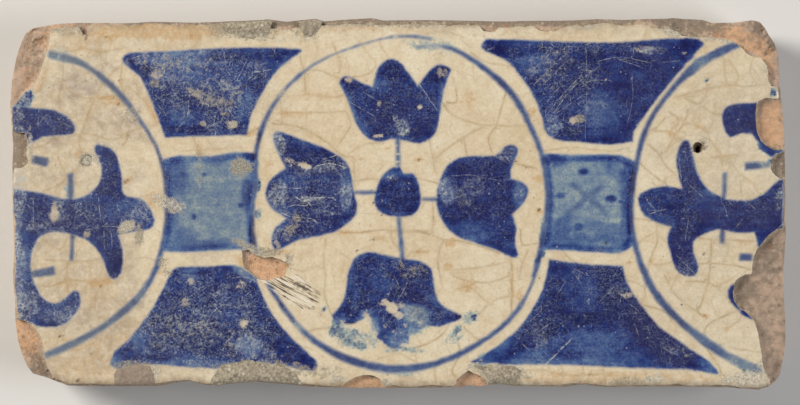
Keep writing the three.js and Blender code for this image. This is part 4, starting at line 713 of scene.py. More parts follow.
SCRATCHES = [
    (0.9, (3.4, 20.8), (6.6, 16)), (0.7, (2.9, 21.4), (5.6, 17.4)), (0.7, (-5.6, 18.8), (-3.8, 17.8)),
    (0.7, (-8, 17.2), (-4.2, 15)), (0.5, (1.2, 23.4), (3.2, 20.6)), (0.6, (-1.2, 13), (0.6, 13.6)),
    (1.2, (25, -27.3), (27.4, -24.9), (29.4, -23)), (1, (25.2, -27.3), (29.2, -23.3)),
    (0.9, (25.3, 15.2), (28.2, 18.8), (31.2, 22)), (0.8, (26, 14.9), (29.4, 19.4), (33, 22.6)),
    (0.6, (26.8, 15.4), (30.8, 18)), (0.6, (24.6, 20.2), (28.4, 24)), (0.6, (23.2, 20.4), (27.4, 24.6)),
    (0.6, (22.6, 22.4), (25.8, 25.6)), (0.5, (25.2, 17.2), (27.2, 19.6)),
    (0.5, (22.2, 24.4), (24.4, 26.6)), (0.55, (32, 26.6), (32.1, 20), (31.8, 11.4)),
    (0.5, (39.8, 21.6), (39.9, 17.9), (39, 13.7)),
    (0.8, (34, 24.3), (36.4, 24.8), (38.7, 24.9), (42.4, 24.1)), (0.7, (37.5, 24.6), (41.6, 23.2)),
    (0.7, (31.4, 22.8), (33.4, 22.7), (34.4, 23.8)), (0.7, (45.4, 24.1), (48, 24.4)),
    (0.6, (31.4, 20), (33, 21), (36, 21)), (0.6, (30.4, 21.4), (32.4, 19.8)),
    (0.8, (35.2, 21), (35.6, 21.1)), (0.7, (50.2, 7), (51.2, 4.4), (52.2, 3.4)),
    (0.7, (47.8, 8), (48.2, 3.2)), (0.6, (49.4, 3.4), (51.6, 1.4)), (0.7, (55.6, 1.6), (56.6, 0)),
    (0.7, (54.9, 0.9), (55.8, -1.2)), (0.6, (58.6, 0.8), (60.4, -0.6)),
    (0.6, (49.4, -2.6), (48.9, -5.6)), (0.7, (42.4, 0.4), (44, -1.2)), (0.7, (43, -1.6), (45.6, -0.8)),
    (0.6, (47.6, -9), (50.6, -12)), (0.6, (47.4, -10.6), (49.4, -12.4)),
    (0.6, (57.4, -4), (58.4, -2.8)), (0.7, (63.4, -5.2), (65.4, -3.4)),
    (0.7, (37.2, -14), (39.2, -15.6)), (0.8, (37, -14.6), (38.6, -16)),
    (0.9, (39.8, -17.3), (40.7, -18)), (0.5, (38.7, -18.6), (41.7, -18.6)),
    (0.6, (29.8, -11.6), (31, -13.2)), (0.5, (29.9, -11), (32.4, -12.2)),
    (0.5, (27, -15.6), (28.4, -13.4)), (0.5, (36.4, -14.4), (34.4, -16.4)),
    (0.5, (22, -20.4), (24.4, -18)), (0.5, (23.4, -22), (26, -20.2)), (0.5, (21.4, -24), (24.6, -27)),
    (0.6, (42.4, -21), (42.9, -22.4)), (0.5, (40, -19.6), (40.8, -22)),
    (0.5, (45.4, -24.6), (47.6, -25.8)), (0.7, (-29.8, -24.7), (-28.6, -22.8), (-27.8, -21.5)),
    (0.6, (-30.9, -18.8), (-30.8, -19.9), (-30.4, -20.4)),
    (0.6, (-35.4, -20.2), (-33, -20.4), (-31, -20.1)), (0.6, (-34.6, -21), (-32, -21)),
    (0.6, (-39.4, -20.8), (-37.8, -22)), (0.6, (-31.6, -16.8), (-30.2, -18.4)),
    (0.6, (-36.8, -12), (-34.6, -12.2)), (0.6, (-29, -12.6), (-26, -12.4), (-24, -13.2)),
    (0.8, (-27.6, -14.4), (-26.4, -13.2)), (0.8, (-26.8, -13), (-26.2, -14.4)),
    (0.5, (-25.6, -18), (-26.4, -16)), (0.5, (-42.4, -21), (-40.8, -23)),
    (0.8, (-42, 24.3), (-41, 23.2)), (0.8, (-43.4, 24.2), (-42, 22.6)),
    (0.7, (-33.8, 21), (-32.4, 20.2)), (0.9, (-33.4, 17.6), (-32, 16.6)),
    (0.8, (-35.2, 19.9), (-35.6, 17.6)), (0.8, (-34.9, 19.4), (-33, 18.6)),
    (0.6, (-29.4, 22.6), (-27, 23.6)), (0.6, (-27.4, 21), (-25.6, 24.6)),
    (0.6, (-31.6, 24.6), (-29.4, 22.2)), (1.6, (-24.4, 22.4), (-21.8, 22.8)),
    (0.7, (-39.6, 15.4), (-40.6, 16.6)), (0.7, (-39.8, 16.2), (-40.8, 15)),
    (0.6, (-38.6, 18.8), (-38.2, 17)), (0.6, (-37.6, 12.8), (-36.4, 13.8)),
    (0.6, (-32.6, 12.9), (-31, 13.8)), (0.6, (-36.4, 23.4), (-34.8, 22.4)),
    (0.6, (-41.8, 26), (-40.2, 25)), (0.6, (-45, 24.8), (-43, 25.6)),
    (1.7, (-18.9, 7.6), (-17.2, 6.6), (-15, 6.1), (-13.4, 6.6), (-11.6, 6.9), (-9.8, 6.5)),
    (1.7, (-17.4, 1.2), (-16, 0.4), (-14.6, 1), (-13, 1.1), (-11, 1)),
    (1.5, (-15.8, 0.9), (-14.9, -0.2)), (1.5, (-19.4, -0.6), (-17.4, -0.2), (-15.6, -0.4)),
    (1.2, (-19.2, 2.8), (-17, 2.7), (-15.4, 2.9)),
    (1.6, (-19.6, -1.6), (-18, -2.2), (-15, -2.4), (-14, -3)),
    (1.3, (-12.6, 7.6), (-10.8, 8.2), (-10, 9)), (1.2, (-15.6, 6.2), (-13, 5.6)),
    (0.7, (-20.6, 9.8), (-19.2, 10.6)), (0.6, (-12.6, -0.8), (-11, 0.6)),
    (0.6, (9.4, 4.8), (12.6, 4.9), (14.2, 4.5), (17.2, 4)), (0.5, (13.6, 2), (14.8, 2.8)),
    (0.6, (17.6, 8.9), (19.2, 7)), (0.5, (-0.6, -12.4), (0.2, -14), (-0.4, -15.4), (0.3, -16.6)),
    (0.6, (1.6, -13.4), (0.8, -15), (-0.1, -16.4)), (0.6, (-0.2, -20.8), (-0.6, -23.4)),
    (0.6, (0.2, -21.4), (1.4, -23.6)), (0.5, (-9.4, -19.6), (-8.6, -21)),
    (0.5, (-3.4, -10.4), (-2, -11.2)), (0.45, (-61.2, 13.4), (-59.6, 15.2), (-58.8, 13.6)),
    (0.4, (-60.8, 15.4), (-59, 13)), (0.45, (-57.8, 14.4), (-55.8, 13.2)),
    (0.6, (-61, 16.4), (-61.2, 13)), (0.6, (-58.4, 12.8), (-57, 13.6)), (0.7, (-62, 0.6), (-62, -4)),
    (0.7, (-50.9, 0.8), (-50.7, -3.6), (-53, -4.4)), (0.7, (-51, -3.8), (-48, -3.8)),
    (0.7, (-50, -4.4), (-49.8, -7.6), (-48.8, -8.6)), (0.7, (-48.8, -4.8), (-48.6, -7)),
    (0.6, (-56, 0), (-53.4, -1.6)), (0.7, (-44.6, -0.6), (-43, -2), (-42.6, -3.6)),
    (0.7, (-45.4, -2), (-43.4, -2.6), (-41.8, -2.4)), (0.7, (-44, -3.6), (-42.8, -1.6), (-43.2, -0.2)),
    (0.8, (-33, 1.7), (-31, 0.7)), (0.7, (-34.2, 4), (-33.4, 2.4)), (0.5, (-5, 10), (-3, 7.4)),
    (0.4, (-4.2, 9.4), (-1.6, 6.8)), (0.5, (7.4, 24.4), (9.4, 26.4)),
]

craze, craze_shown = drawn_lines(CRAZES)
scratch, scratch_shown = drawn_lines(SCRATCHES)

# What the materials read from the vertices of the glaze and of the paint.
FIELDS = {
    "border": paint_border() + spots(NARROWER),
    "strength": np.clip(paint_strength() + spots(DEEPER) - spots(PALER), 0.04, 1.2),
    "violet": spots(VIOLET),
    "smear": spots(SMEARS),
    "bare": spots(BARE),
    "scuff_and_sheen": spots(SCUFFS_AND_SHEEN),
    "grit": spots(GRIT),
    "lime": spots(LIME),
    "rust": spots(RUST),
    "dot": spots(DARK_DOTS),
    "dull": spots(DULL),
    "scuff": spots(SCUFFED),
    "scored": spots(SCORED),
    "rim": -in_tile,
    "craze": craze,
    "craze_shown": craze_shown,
    "scratch": scratch,
    "scratch_shown": scratch_shown,
}


# Heights

# How far in from the side a surface starts to roll over, and how far it drops there.
GLAZE_ROLL, GLAZE_DROP = 1.1, 0.45
CLAY_ROLL, CLAY_DROP = 0.9, 0.35


def towards_side(width):
    """From 0, where a surface starts to roll over, to 1 at the tile's side."""
    return np.clip(1 + in_tile / width, 0, 1)


def rolled(reach):
    """How far a quarter-round has dropped, from 0 to 1."""
    return 1 - np.sqrt(1 - reach**2)


def glaze_height():
    """The glaze's surface: it waves a little, sinks beside a break and rolls down over the tile's side."""
    waves = 0.09 * lumpy(16, 41) + 0.05 * lumpy(6, 42)
    ripples = 0.012 * lumpy(2.2, 43)
    reach = towards_side(GLAZE_ROLL)
    roll = GLAZE_DROP * rolled(reach)
    sunk = 0.08 * np.clip(1 + in_glaze / 0.5, 0, 1)
    return FACE + waves + ripples - roll - sunk - 0.05 * roughened(1.2, 44) * reach


def hole_centres():
    """The left nail hole is where its grit lies. The right one is the small outline in the glaze's face."""
    low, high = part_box("nail_hole_grit")
    left = ((low + high) / 2 / MM)[:2]
    right_of_middle = glazed_edges[glazed_edges[:, :, 0].min(axis=1) > 0]
    centre = TILE_SIZE[:2] / 2 - NAIL_HOLE_FROM_CORNER
    near = np.linalg.norm(right_of_middle.mean(axis=1) - centre, axis=1) < 2
    right = right_of_middle[near].mean(axis=(0, 1))
    return {"left": left, "right": tuple(right)}


NAIL_HOLES = hole_centres()
NAIL_HOLE_DEPTH = {"left": 2.6, "right": 0.7}
SHAFT_DEPTH = 1.9


def clay_height():
    """The clay is flat under the glaze, broken where that has gone, and worn round at its edge."""
    broken = soft_step(in_glaze, -0.05, 0.35)
    relief = 0.22 + 0.2 * roughened(3.2, 51, 4) + 0.3 * soft_step(in_glaze, 0, 4)
    relief = relief + spots(SCOOPS) * (1 + 0.25 * roughened(2.0, 61, 4)) + 0.05 * lumpy(0.6, 62)
    roll = CLAY_DROP * rolled(towards_side(CLAY_ROLL)) * (1 + 0.6 * roughened(1.8, 63))
    height = BODY_TOP - SEAM - broken * relief - roll * soft_step(glaze_cut, -0.3, 0.3)
    for name, (x, y) in NAIL_HOLES.items():
        within = NAIL_HOLE_RADIUS - np.hypot(GRID_X - x, GRID_Y - y)
        height = height - NAIL_HOLE_DEPTH[name] * soft_step(within, -0.1, 0.5)
    return height - SHAFT_DEPTH * np.minimum(spots(NAIL_SHAFT), 1)


glaze_top = glaze_height()
clay_top = clay_height()


# Closed meshes cut from the grid

SLIVER = 0.04  # a cut keeps this share of a cell away from the grid's points


def cut_grid(keep, stride):
    """Marching triangles. Returns the places as pairs of grid points with a share, and the triangles."""
    keep = keep[::stride, ::stride]
    rows, columns = keep.shape
    number = np.arange(rows * columns).reshape(rows, columns)
    a, b = number[:-1, :-1], number[1:, :-1]
    c, d = number[1:, 1:], number[:-1, 1:]
    first = np.stack([a, b, c], axis=-1).reshape(-1, 3)
    second = np.stack([a, c, d], axis=-1).reshape(-1, 3)
    triangles = np.concatenate([first, second])
    value = keep.reshape(-1)
    kept = value[triangles] < 0
    count = kept.sum(axis=1)

    whole = triangles[count == 3]
    pieces = [np.stack([whole, whole], axis=-1)]
    for corners_kept in (1, 2):
        cut, mask = triangles[count == corners_kept], kept[count == corners_kept]
        if not len(cut):
            continue
        lone = np.argmax(mask if corners_kept == 1 else ~mask, axis=1)
        order = (lone[:, None] + np.arange(3)) % 3
        p, q, r = np.take_along_axis(cut, order, axis=1).T
        if corners_kept == 1:
            parts = [[[p, p], [p, q], [p, r]]]
        else:
            parts = [[[q, q], [r, r], [r, p]], [[q, q], [r, p], [q, p]]]
        pieces.extend(np.stack(part).transpose(2, 0, 1) for part in parts)
    corners = np.sort(np.concatenate(pieces), axis=-1).reshape(-1, 2)
    places, faces = np.unique(corners, axis=0, return_inverse=True)
    start, end = places.T
    gap = value[start] - value[end]
    share = np.clip(value[start] / np.where(gap == 0, 1, gap), SLIVER, 1 - SLIVER)
    return start, end, np.where(start == end, 0, share), faces.reshape(-1, 3)


def at_places(field, stride, start, end, share):
    """A field of the grid at the places that cut_grid gives."""
    value = np.asarray(field)[::stride, ::stride].reshape(-1)
    return value[start] * (1 - share) + value[end] * share


def outer_edges(faces):
    """The directed edges that only one triangle has."""
    edges = np.concatenate([faces[:, [0, 1]], faces[:, [1, 2]], faces[:, [2, 0]]])
    span = faces.max() + 1
    key = edges[:, 0] * span + edges[:, 1]
    return edges[~np.isin(key, edges[:, 1] * span + edges[:, 0])]


def mesh_object(name, points, faces, values, sharp_degrees):
    mesh = bpy.data.meshes.new(name)
    mesh.from_pydata((points * MM).tolist(), [], faces)
    for key, value in values.items():
        layer = mesh.attributes.new(key, "FLOAT", "POINT")
        layer.data.foreach_set("value", value.astype(np.float32))
    mesh.shade_smooth()
    mesh.set_sharp_from_angle(angle=math.radians(sharp_degrees))
    mesh.update()
    piece = bpy.data.objects.new(name, mesh)
    bpy.context.scene.collection.objects.link(piece)
    return piece


def side_roughness(ring):
    """The cut sides are dragged and gritty: they move in and out by up to a few tenths of a millimetre."""
    x, y, z = ring.T
    out = ring[:, :2] / TILE_SIZE[:2] * 2
    out = np.sign(out) * np.abs(out) ** 8
    out /= np.maximum(np.linalg.norm(out, axis=1), 1e-6)[:, None]
    amount = 0.16 * rough(x + y, z * 3, 5.0, 71) + 0.07 * lumps(x + y, z, 0.9, 72) - 0.12
    return np.concatenate([out * amount[:, None], np.zeros((len(x), 1))], axis=1)


def plate(name, keep, top, bottom, stride=1, levels=(), fields=FIELDS, sharp_degrees=40):
    """A closed plate where keep is below nothing.

    Levels are rings round its side, each of how far down it lies and its scale along x and y. The last is
    the bottom's."""
    *places, faces = cut_grid(keep, stride)
    x, y, high, low = (at_places(field, stride, *places) for field in (GRID_X, GRID_Y, top, bottom))
    values = {key: at_places(field, stride, *places) for key, field in fields.items()}
    count = len(x)
    scale_x, scale_y = levels[-1][1:] if levels else (1, 1)
    upper = np.stack([x, y, high], axis=1)
    lower = np.stack([x * scale_x, y * scale_y, low], axis=1)
    edges = outer_edges(faces)
    rim = np.unique(edges)
    slot = np.full(count, -1)
    slot[rim] = np.arange(len(rim))
    rings = []
    above = edges
    walls = []
    for down, ring_x, ring_y in levels[:-1]:
        height = high[rim] + down * (low[rim] - high[rim])
        ring = np.stack([x[rim] * ring_x, y[rim] * ring_y, height], axis=1)
        below = 2 * count + len(rings) * len(rim) + slot[edges]
        walls.append(np.concatenate([above[:, ::-1], below], axis=1))
        rings.append(ring + side_roughness(ring))
        above = below
    walls.append(np.concatenate([above[:, ::-1], edges + count], axis=1))
    points = np.concatenate([upper, lower] + rings)
    for key, value in values.items():
        values[key] = np.concatenate([value, value] + [value[rim]] * len(rings))
    all_faces = faces.tolist() + (faces[:, ::-1] + count).tolist() + np.concatenate(walls).tolist()
    return mesh_object(name, points, all_faces, values, sharp_degrees)


# Materials

GLASS_IOR, EARTH_IOR = 1.5, 1.45
GLAZE_RELIEF = 0.04
# Cobalt from the thinnest wash to the thickest.
INK = [
    (0.0, "#a2ada8"), (0.22, "#778a9c"), (0.42, "#566f94"), (0.6, "#3b5387"), (0.76, "#253a75"),
    (0.9, "#182463"), (1.0, "#10144b"),
]
# Slant and length of the short fine scratches that cover worn paint. Real ones are finer: these are about as
# wide as one pixel of the picture, so that they show.
TICKS = [(38, 1.5), (-42, 1.2), (84, 1.6), (8, 1.0)]
TICK_WIDTH = 0.2


def linear(hex_colour):
    """An sRGB hex colour as linear red, green, blue and alpha."""
    parts = [int(hex_colour[k:k + 2], 16) / 255 for k in (1, 3, 5)]
    return [p / 12.92 if p <= 0.04045 else ((p + 0.055) / 1.055) ** 2.4 for p in parts] + [1]


class Surface:
    """A new material, its tree of nodes, and the place on the tile that its patterns are drawn from."""

    def __init__(self, name):
        self.material = bpy.data.materials.new(name)
        self.material.use_nodes = True
        self.tree = self.material.node_tree
        self.tree.nodes.clear()
        self.place = add(self, "TexCoord").outputs["Object"]


def add(surface, kind, inputs=(), **settings):
    """Adds a node. An input is a number, a vector, a hex colour, the name of a value stored on the vertices,
    a socket, or a node whose first output is meant."""
    node = surface.tree.nodes.new("ShaderNode" + kind)
    for key, value in settings.items():
        setattr(node, key, value)
    for key, value in dict(inputs).items():
        if isinstance(value, str) and not value.startswith("#"):
            value = add(surface, "Attribute", attribute_name=value).outputs["Fac"]
        if isinstance(value, bpy.types.Node):
            value = value.outputs[0]
        if isinstance(value, bpy.types.NodeSocket):
            surface.tree.links.new(value, node.inputs[key])
        else:
            node.inputs[key].default_value = linear(value) if isinstance(value, str) else value
    return node


def finished(surface, colour, roughness, height, depth, **constants):
    """The material with this colour and roughness, and a relief whose depth is in millimetres."""
    bump = add(surface, "Bump", {"Height": height, "Distance": depth * MM, "Strength": 1.0})
    shader = add(surface, "BsdfPrincipled", {
        "Base Color": colour, "Roughness": roughness, "Normal": bump, **constants,
    })
    add(surface, "OutputMaterial", {"Surface": shader})
    return surface.material


def all_of(surface, *masks):
    """Where every one of these masks shows: their product, kept between 0 and 1."""
    shown = masks[0]
    for mask in masks[1:]:
        shown = add(surface, "Math", {0: shown, 1: mask}, operation="MULTIPLY", use_clamp=True)
    return shown


def laid_over(surface, colour, *layers):
    """The colour with others laid over it in turn. Each layer is a colour and the masks that limit it."""
    for hue, *masks in layers:
        colour = add(surface, "MixRGB", {
            "Fac": all_of(surface, *masks), "Color1": colour, "Color2": hue,
        })
    return colour


def per(size):
    """The scale of a pattern whose features are this many millimetres across."""
    return 1 / (size * MM)


def uneven(surface, size, low, high, detail=4.0):
    """Noise of this size, stretched to run from low to high."""
    noise = add(surface, "TexNoise", {
        "Vector": surface.place, "Scale": per(size), "Detail": detail, "Roughness": 0.65,
    })
    return add(surface, "MapRange", {
        "Value": noise, "From Min": 0.3, "From Max": 0.7, "To Min": low, "To Max": high,
    })


def drawn_out(surface, size, slant=0, detail=4.0, roughness=0.65):
    """Noise drawn out to these sizes along x, y and z, and turned by this many degrees about z."""
    turned = add(surface, "Mapping", {
        "Vector": surface.place, "Rotation": (0, 0, math.radians(slant)), "Scale": Vector(size) * MM,
    }, vector_type="TEXTURE")
    return add(surface, "TexNoise", {
        "Vector": turned, "Scale": 1.0, "Detail": detail, "Roughness": roughness,
    })


def ragged_spot(surface, name, size, edge=0.18, amount=0.45):
    """Where a stored spot reaches one half, its border broken up by noise of this size."""
    rough_spot = add(surface, "Math", {0: name, 1: uneven(surface, size, -amount, amount)}, operation="ADD")
    mask = add(surface, "MapRange", {
        "Value": rough_spot, "From Min": 0.5 - edge, "From Max": 0.5 + edge,
    }, interpolation_type="SMOOTHSTEP")
    # Away from the spot, the noise alone shows nothing.
    near = all_of(surface, name, 5.0)
    return all_of(surface, mask, near)


def drawn_line(surface, name, width, wander):
    """A stored line as a mask, this many millimetres to each side of it, wandering by as much as said."""
    moved = add(surface, "Math", {0: name, 1: uneven(surface, 1.6, -wander, wander)}, operation="ADD")
    away = add(surface, "Math", {0: moved}, operation="ABSOLUTE")
    mask = add(surface, "MapRange", {"Value": away, "From Min": width, "From Max": width * 0.2})
    return add(surface, "Math", {0: mask, 1: name + "_shown"}, operation="MULTIPLY")


def specks(surface, spacing, size, share):
    """Small round specks, one in a cell of this spacing, in this share of the cells."""
    cells = add(surface, "TexVoronoi", {"Vector": surface.place, "Scale": per(spacing), "Randomness": 1.0})
    pick = add(surface, "SeparateColor", {"Color": cells.outputs["Color"]})
    radius = add(surface, "Math", {0: pick.outputs["Green"], 1: size / spacing}, operation="MULTIPLY")
    core = add(surface, "Math", {0: radius, 1: 0.4}, operation="MULTIPLY")
    disc = add(surface, "MapRange", {"Value": cells, "From Min": radius, "From Max": core})
    kept = add(surface, "Math", {0: pick.outputs["Red"], 1: share}, operation="LESS_THAN")
    return all_of(surface, disc, kept)


def craze_lines(surface):
    """The drawn craze lines, and between them a random net of faint ones with bent cells."""
    warp = add(surface, "TexNoise", {"Vector": surface.place, "Scale": per(4), "Detail": 2.0})
    swing = add(surface, "VectorMath", {0: warp.outputs["Color"], "Scale": 3.0 * MM}, operation="SCALE")
    bent = add(surface, "VectorMath", {0: surface.place, 1: swing}, operation="ADD")
    net = add(surface, "TexVoronoi", {"Vector": bent, "Scale": per(5.0), "Randomness": 0.95},
              voronoi_dimensions="2D", feature="DISTANCE_TO_EDGE")
    net = add(surface, "MapRange", {"Value": net, "From Min": 0.035, "From Max": 0.0})
    faint = all_of(surface, net, uneven(surface, 3.5, -0.25, 0.45))
    stained = all_of(surface, drawn_line(surface, "craze", 0.27, 0.1), uneven(surface, 1.8, 0.05, 0.8))
    return add(surface, "Math", {0: stained, 1: faint}, operation="MAXIMUM")


def bare_glaze(surface):
    """Tin glaze: an opaque cream white, uneven and warm, with stained craze lines and small specks.

    Gives its colour, its roughness and its height."""
    line = craze_lines(surface)
    glow = drawn_line(surface, "craze", 0.62, 0.2)
    clean = add(surface, "MapRange", {"Value": "dull", "To Min": 1.15, "To Max": 0.95})
    rim = add(surface, "MapRange", {"Value": "rim", "From Min": 1.5, "From Max": 0.1})
    colour = laid_over(
        surface, "#d3bf9c",
        ("#e6dabf", uneven(surface, 18, 0, 1, detail=3.0)),
        ("#9f9184", "dull", uneven(surface, 4, 0.15, 0.8)),
        ("#c6ad88", uneven(surface, 3.2, -0.15, 0.55)),
        ("#eadcc2", uneven(surface, 1.3, -0.2, 0.6)),
        ("#b09a79", uneven(surface, 0.5, -0.12, 0.34)),
        ("#c0a074", glow, uneven(surface, 2.6, -0.05, 0.45), clean),
        ("#a6926d", line, clean),
        ("#bf945c", ragged_spot(surface, "rust", 0.9, edge=0.5), uneven(surface, 0.6, 0.1, 0.8)),
        ("#6b4d33", specks(surface, 1.1, 0.2, 0.16), 0.5),
        ("#5a4331", specks(surface, 2.4, 0.3, 0.16), 0.75),
        ("#b07f48", specks(surface, 1.6, 0.5, 0.14), 0.3),
        ("#89745c", rim, uneven(surface, 1.6, -0.1, 1.0)),
    )
    height = add(surface, "Math", {0: line, 1: -0.7, 2: uneven(surface, 2.0, 0.0, 0.5)},
                 operation="MULTIPLY_ADD")
    return colour, uneven(surface, 0.8, 0.22, 0.42), height


def with_smears(surface, colour):
    """Thin cobalt that ran in the kiln: a pale blue veil with ragged edges. The thickest is dark."""
    strong = add(surface, "MapRange", {"Value": "smear", "From Min": 0.3, "From Max": 1.4})
    strong = add(surface, "Math", {0: strong, 1: uneven(surface, 0.5, -0.5, 0.5)}, operation="ADD",
                 use_clamp=True)
    hue = laid_over(surface, "#9fb0aa", ("#25336c", strong))
    return laid_over(surface, colour, (hue, ragged_spot(surface, "smear", 0.8, edge=0.45, amount=0.5)))


def with_dirt(surface, colour, roughness, height):
    """White scuffs and painted highlights (sheen on the rolled ends, glints on the tulips), scratches, a
    scraped patch, grit stuck on and dark pits.
    """
    # White scuffs, and painted highlights: sheen on the rolled ends and glints on the tulips.
    scuff_and_sheen = all_of(surface, ragged_spot(surface, "scuff_and_sheen", 1.1, edge=0.5, amount=0.5),
                  uneven(surface, 0.45, -0.3, 1.1), uneven(surface, 1.6, -0.1, 1.4))
    # Real scratches are finer. These are as wide as one pixel of the picture, so that they show.
    scratch = drawn_line(surface, "scratch", 0.11, 0.06)
    scraped = ragged_spot(surface, "scored", 1.2, edge=0.3)
    scores = drawn_out(surface, (4.0, 0.26, 0.26), slant=-30)
    white = add(surface, "MapRange", {"Value": scores, "From Min": 0.51, "From Max": 0.57, "To Max": 0.75})
    dark = add(surface, "MapRange", {"Value": scores, "From Min": 0.49, "From Max": 0.4})
    grit = ragged_spot(surface, "grit", 0.55, edge=0.45, amount=0.6)
    grains = uneven(surface, 0.35, 0, 1)
    sand = laid_over(surface, "#756b5a", ("#c4baa2", grains),
                     ("#e2dac8", "lime", uneven(surface, 0.5, -0.2, 1.0)))
    colour = laid_over(
        surface, colour,
        # Whitish grey over the white scuffs and over the painted sheen and glints.
        ("#b0b5b2", scuff_and_sheen),
        ("#bfc0b8", scratch, uneven(surface, 0.6, -0.25, 0.95)),
        ("#e9e0d0", white, scraped),
        ("#4d4138", dark, scraped),
        (sand, grit, 0.85),
        ("#46392e", ragged_spot(surface, "dot", 0.5, edge=0.4, amount=0.3), 0.65),
    )
    matt = add(surface, "Math", {0: scuff_and_sheen, 1: grit}, operation="MAXIMUM")
    roughness = add(surface, "MapRange", {"Value": matt, "To Min": roughness, "To Max": 0.85})
    height = add(surface, "Math", {0: all_of(surface, grit, grains), 1: 3.0, 2: height},
                 operation="MULTIPLY_ADD")
    return colour, roughness, height


def tin_glaze():
    """Tin-glazed earthenware: glassy, opaque and cream, so it shows soft highlights over an even colour."""
    surface = Surface("tin_glaze_over_earthenware")
    colour, roughness, height = bare_glaze(surface)
    colour = with_smears(surface, colour)
    return finished(surface, *with_dirt(surface, colour, roughness, height), GLAZE_RELIEF, IOR=GLASS_IOR)


def ink_colour(surface, strength, grey):
    """Cobalt glass: greyish where thin, deep blue where thick, violet where thickest, and greyed by age."""
    ink = add(surface, "ValToRGB", {"Fac": strength})
    stops = ink.color_ramp.elements
    while len(stops) < len(INK):
        stops.new(0.5)
    for stop, (position, hue) in zip(stops, INK):
        stop.position = position
        stop.color = linear(hue)
    greyed = add(surface, "Math", {0: "dull", 1: 0.1 + grey, 2: grey}, operation="MULTIPLY_ADD")
    return laid_over(surface, ink, ("#262358", "violet", uneven(surface, 1.2, 0.1, 0.9)),
                     ("#6c6e70", greyed))


def with_wear(surface, ink, worn):
    """Wear on the paint: a dull film, dark and pale specks, and short pale scratches."""
    speckled = add(surface, "Math", {0: "scuff", 1: uneven(surface, 3.0, 0.25, 1.1)}, operation="MULTIPLY")
    ink = laid_over(
        surface, ink,
        ("#5d6379", uneven(surface, 1.5, -0.8, 0.4), "scuff"),
        ("#131750", uneven(surface, 0.4, -0.9, 0.9), speckled, 0.6 * worn),
        ("#7f8da6", uneven(surface, 0.32, -1.2, 1.4), speckled, 0.6 * worn),
        ("#838e9e", uneven(surface, 0.55, -1.5, 1.2), speckled, 0.48 * worn),
        ("#a9b3c0", specks(surface, 0.9, 0.24, 0.2), 0.55 * worn),
    )
    lowest = add(surface, "Math", {0: speckled, 1: -0.035, 2: 0.69}, operation="MULTIPLY_ADD")
    for slant, length in TICKS:
        tick = drawn_out(surface, (length, TICK_WIDTH, TICK_WIDTH), slant, detail=1.0)
        tick = add(surface, "MapRange", {
            "Value": tick, "From Min": lowest, "From Max": 0.8, "To Max": 0.95 * worn,
        })
        ink = laid_over(surface, ink, ("#b4bab6", tick, speckled))
    return ink


def cobalt_paint(name, brushed, thinning, worn, grey, soft, least):
    """Cobalt oxide brushed on the raw glaze and melted into it: blue glass with a soft edge, paler where the
    brush left less, and speckled and scratched white by wear.

    Brushed is how much the strength varies along a stroke, thinning how much is lost at its edge, worn how
    strongly wear shows and grey how far age has greyed the blue. Soft is half the width of the edge in
    millimetres, and least the share of the glaze that the thinnest paint covers."""
    surface = Surface(name)
    ground, roughness, height = bare_glaze(surface)
    ground = with_smears(surface, ground)

    edge = "border"
    for size, amount in ((0.5, 0.07), (1.6, 0.1)):
        edge = add(surface, "Math", {0: edge, 1: uneven(surface, size, -amount, amount)}, operation="ADD")
    brush = add(surface, "MapRange", {
        "Value": drawn_out(surface, (9.0, 0.9, 0.9)), "From Min": 0.3, "From Max": 0.7,
        "To Min": -brushed, "To Max": brushed,
    })
    near = add(surface, "Math", {0: edge, 1: uneven(surface, 2.2, -0.3, 0.3)}, operation="ADD")
    thinned = add(surface, "MapRange", {
        "Value": near, "From Min": -0.9, "From Max": 0.1, "To Max": -thinning,
    })
    strength = "strength"
    for part in (
        uneven(surface, 5, -0.13, 0.1), uneven(surface, 1.3, -0.12, 0.12), uneven(surface, 0.4, -0.14, 0.12),
        brush, thinned,
    ):
        strength = add(surface, "Math", {0: strength, 1: part}, operation="ADD")
    ink = with_wear(surface, ink_colour(surface, strength, grey), worn)

    worn_through = add(surface, "MapRange", {
        "Value": "bare", "From Min": 0.3, "From Max": 1.5, "To Min": 0.2,
    })
    bare = all_of(surface, ragged_spot(surface, "bare", 0.6, edge=0.35, amount=1.0), worn_through)
    kept = add(surface, "Math", {0: 1.0, 1: bare}, operation="SUBTRACT")
    halo = add(surface, "MapRange", {
        "Value": edge, "From Min": HALO - 0.01, "From Max": 0.0, "To Max": 0.34,
    }, interpolation_type="SMOOTHSTEP")
    cover = add(surface, "MapRange", {
        "Value": edge, "From Min": soft, "From Max": -soft,
    }, interpolation_type="SMOOTHSTEP")
    dense = add(surface, "MapRange", {
        "Value": strength, "From Min": 0.0, "From Max": 0.18, "To Min": least,
    })
    colour = laid_over(surface, ground, ("#7f90a6", halo, kept), (ink, cover, dense, kept))
    return finished(surface, *with_dirt(surface, colour, roughness, height), GLAZE_RELIEF, IOR=GLASS_IOR)


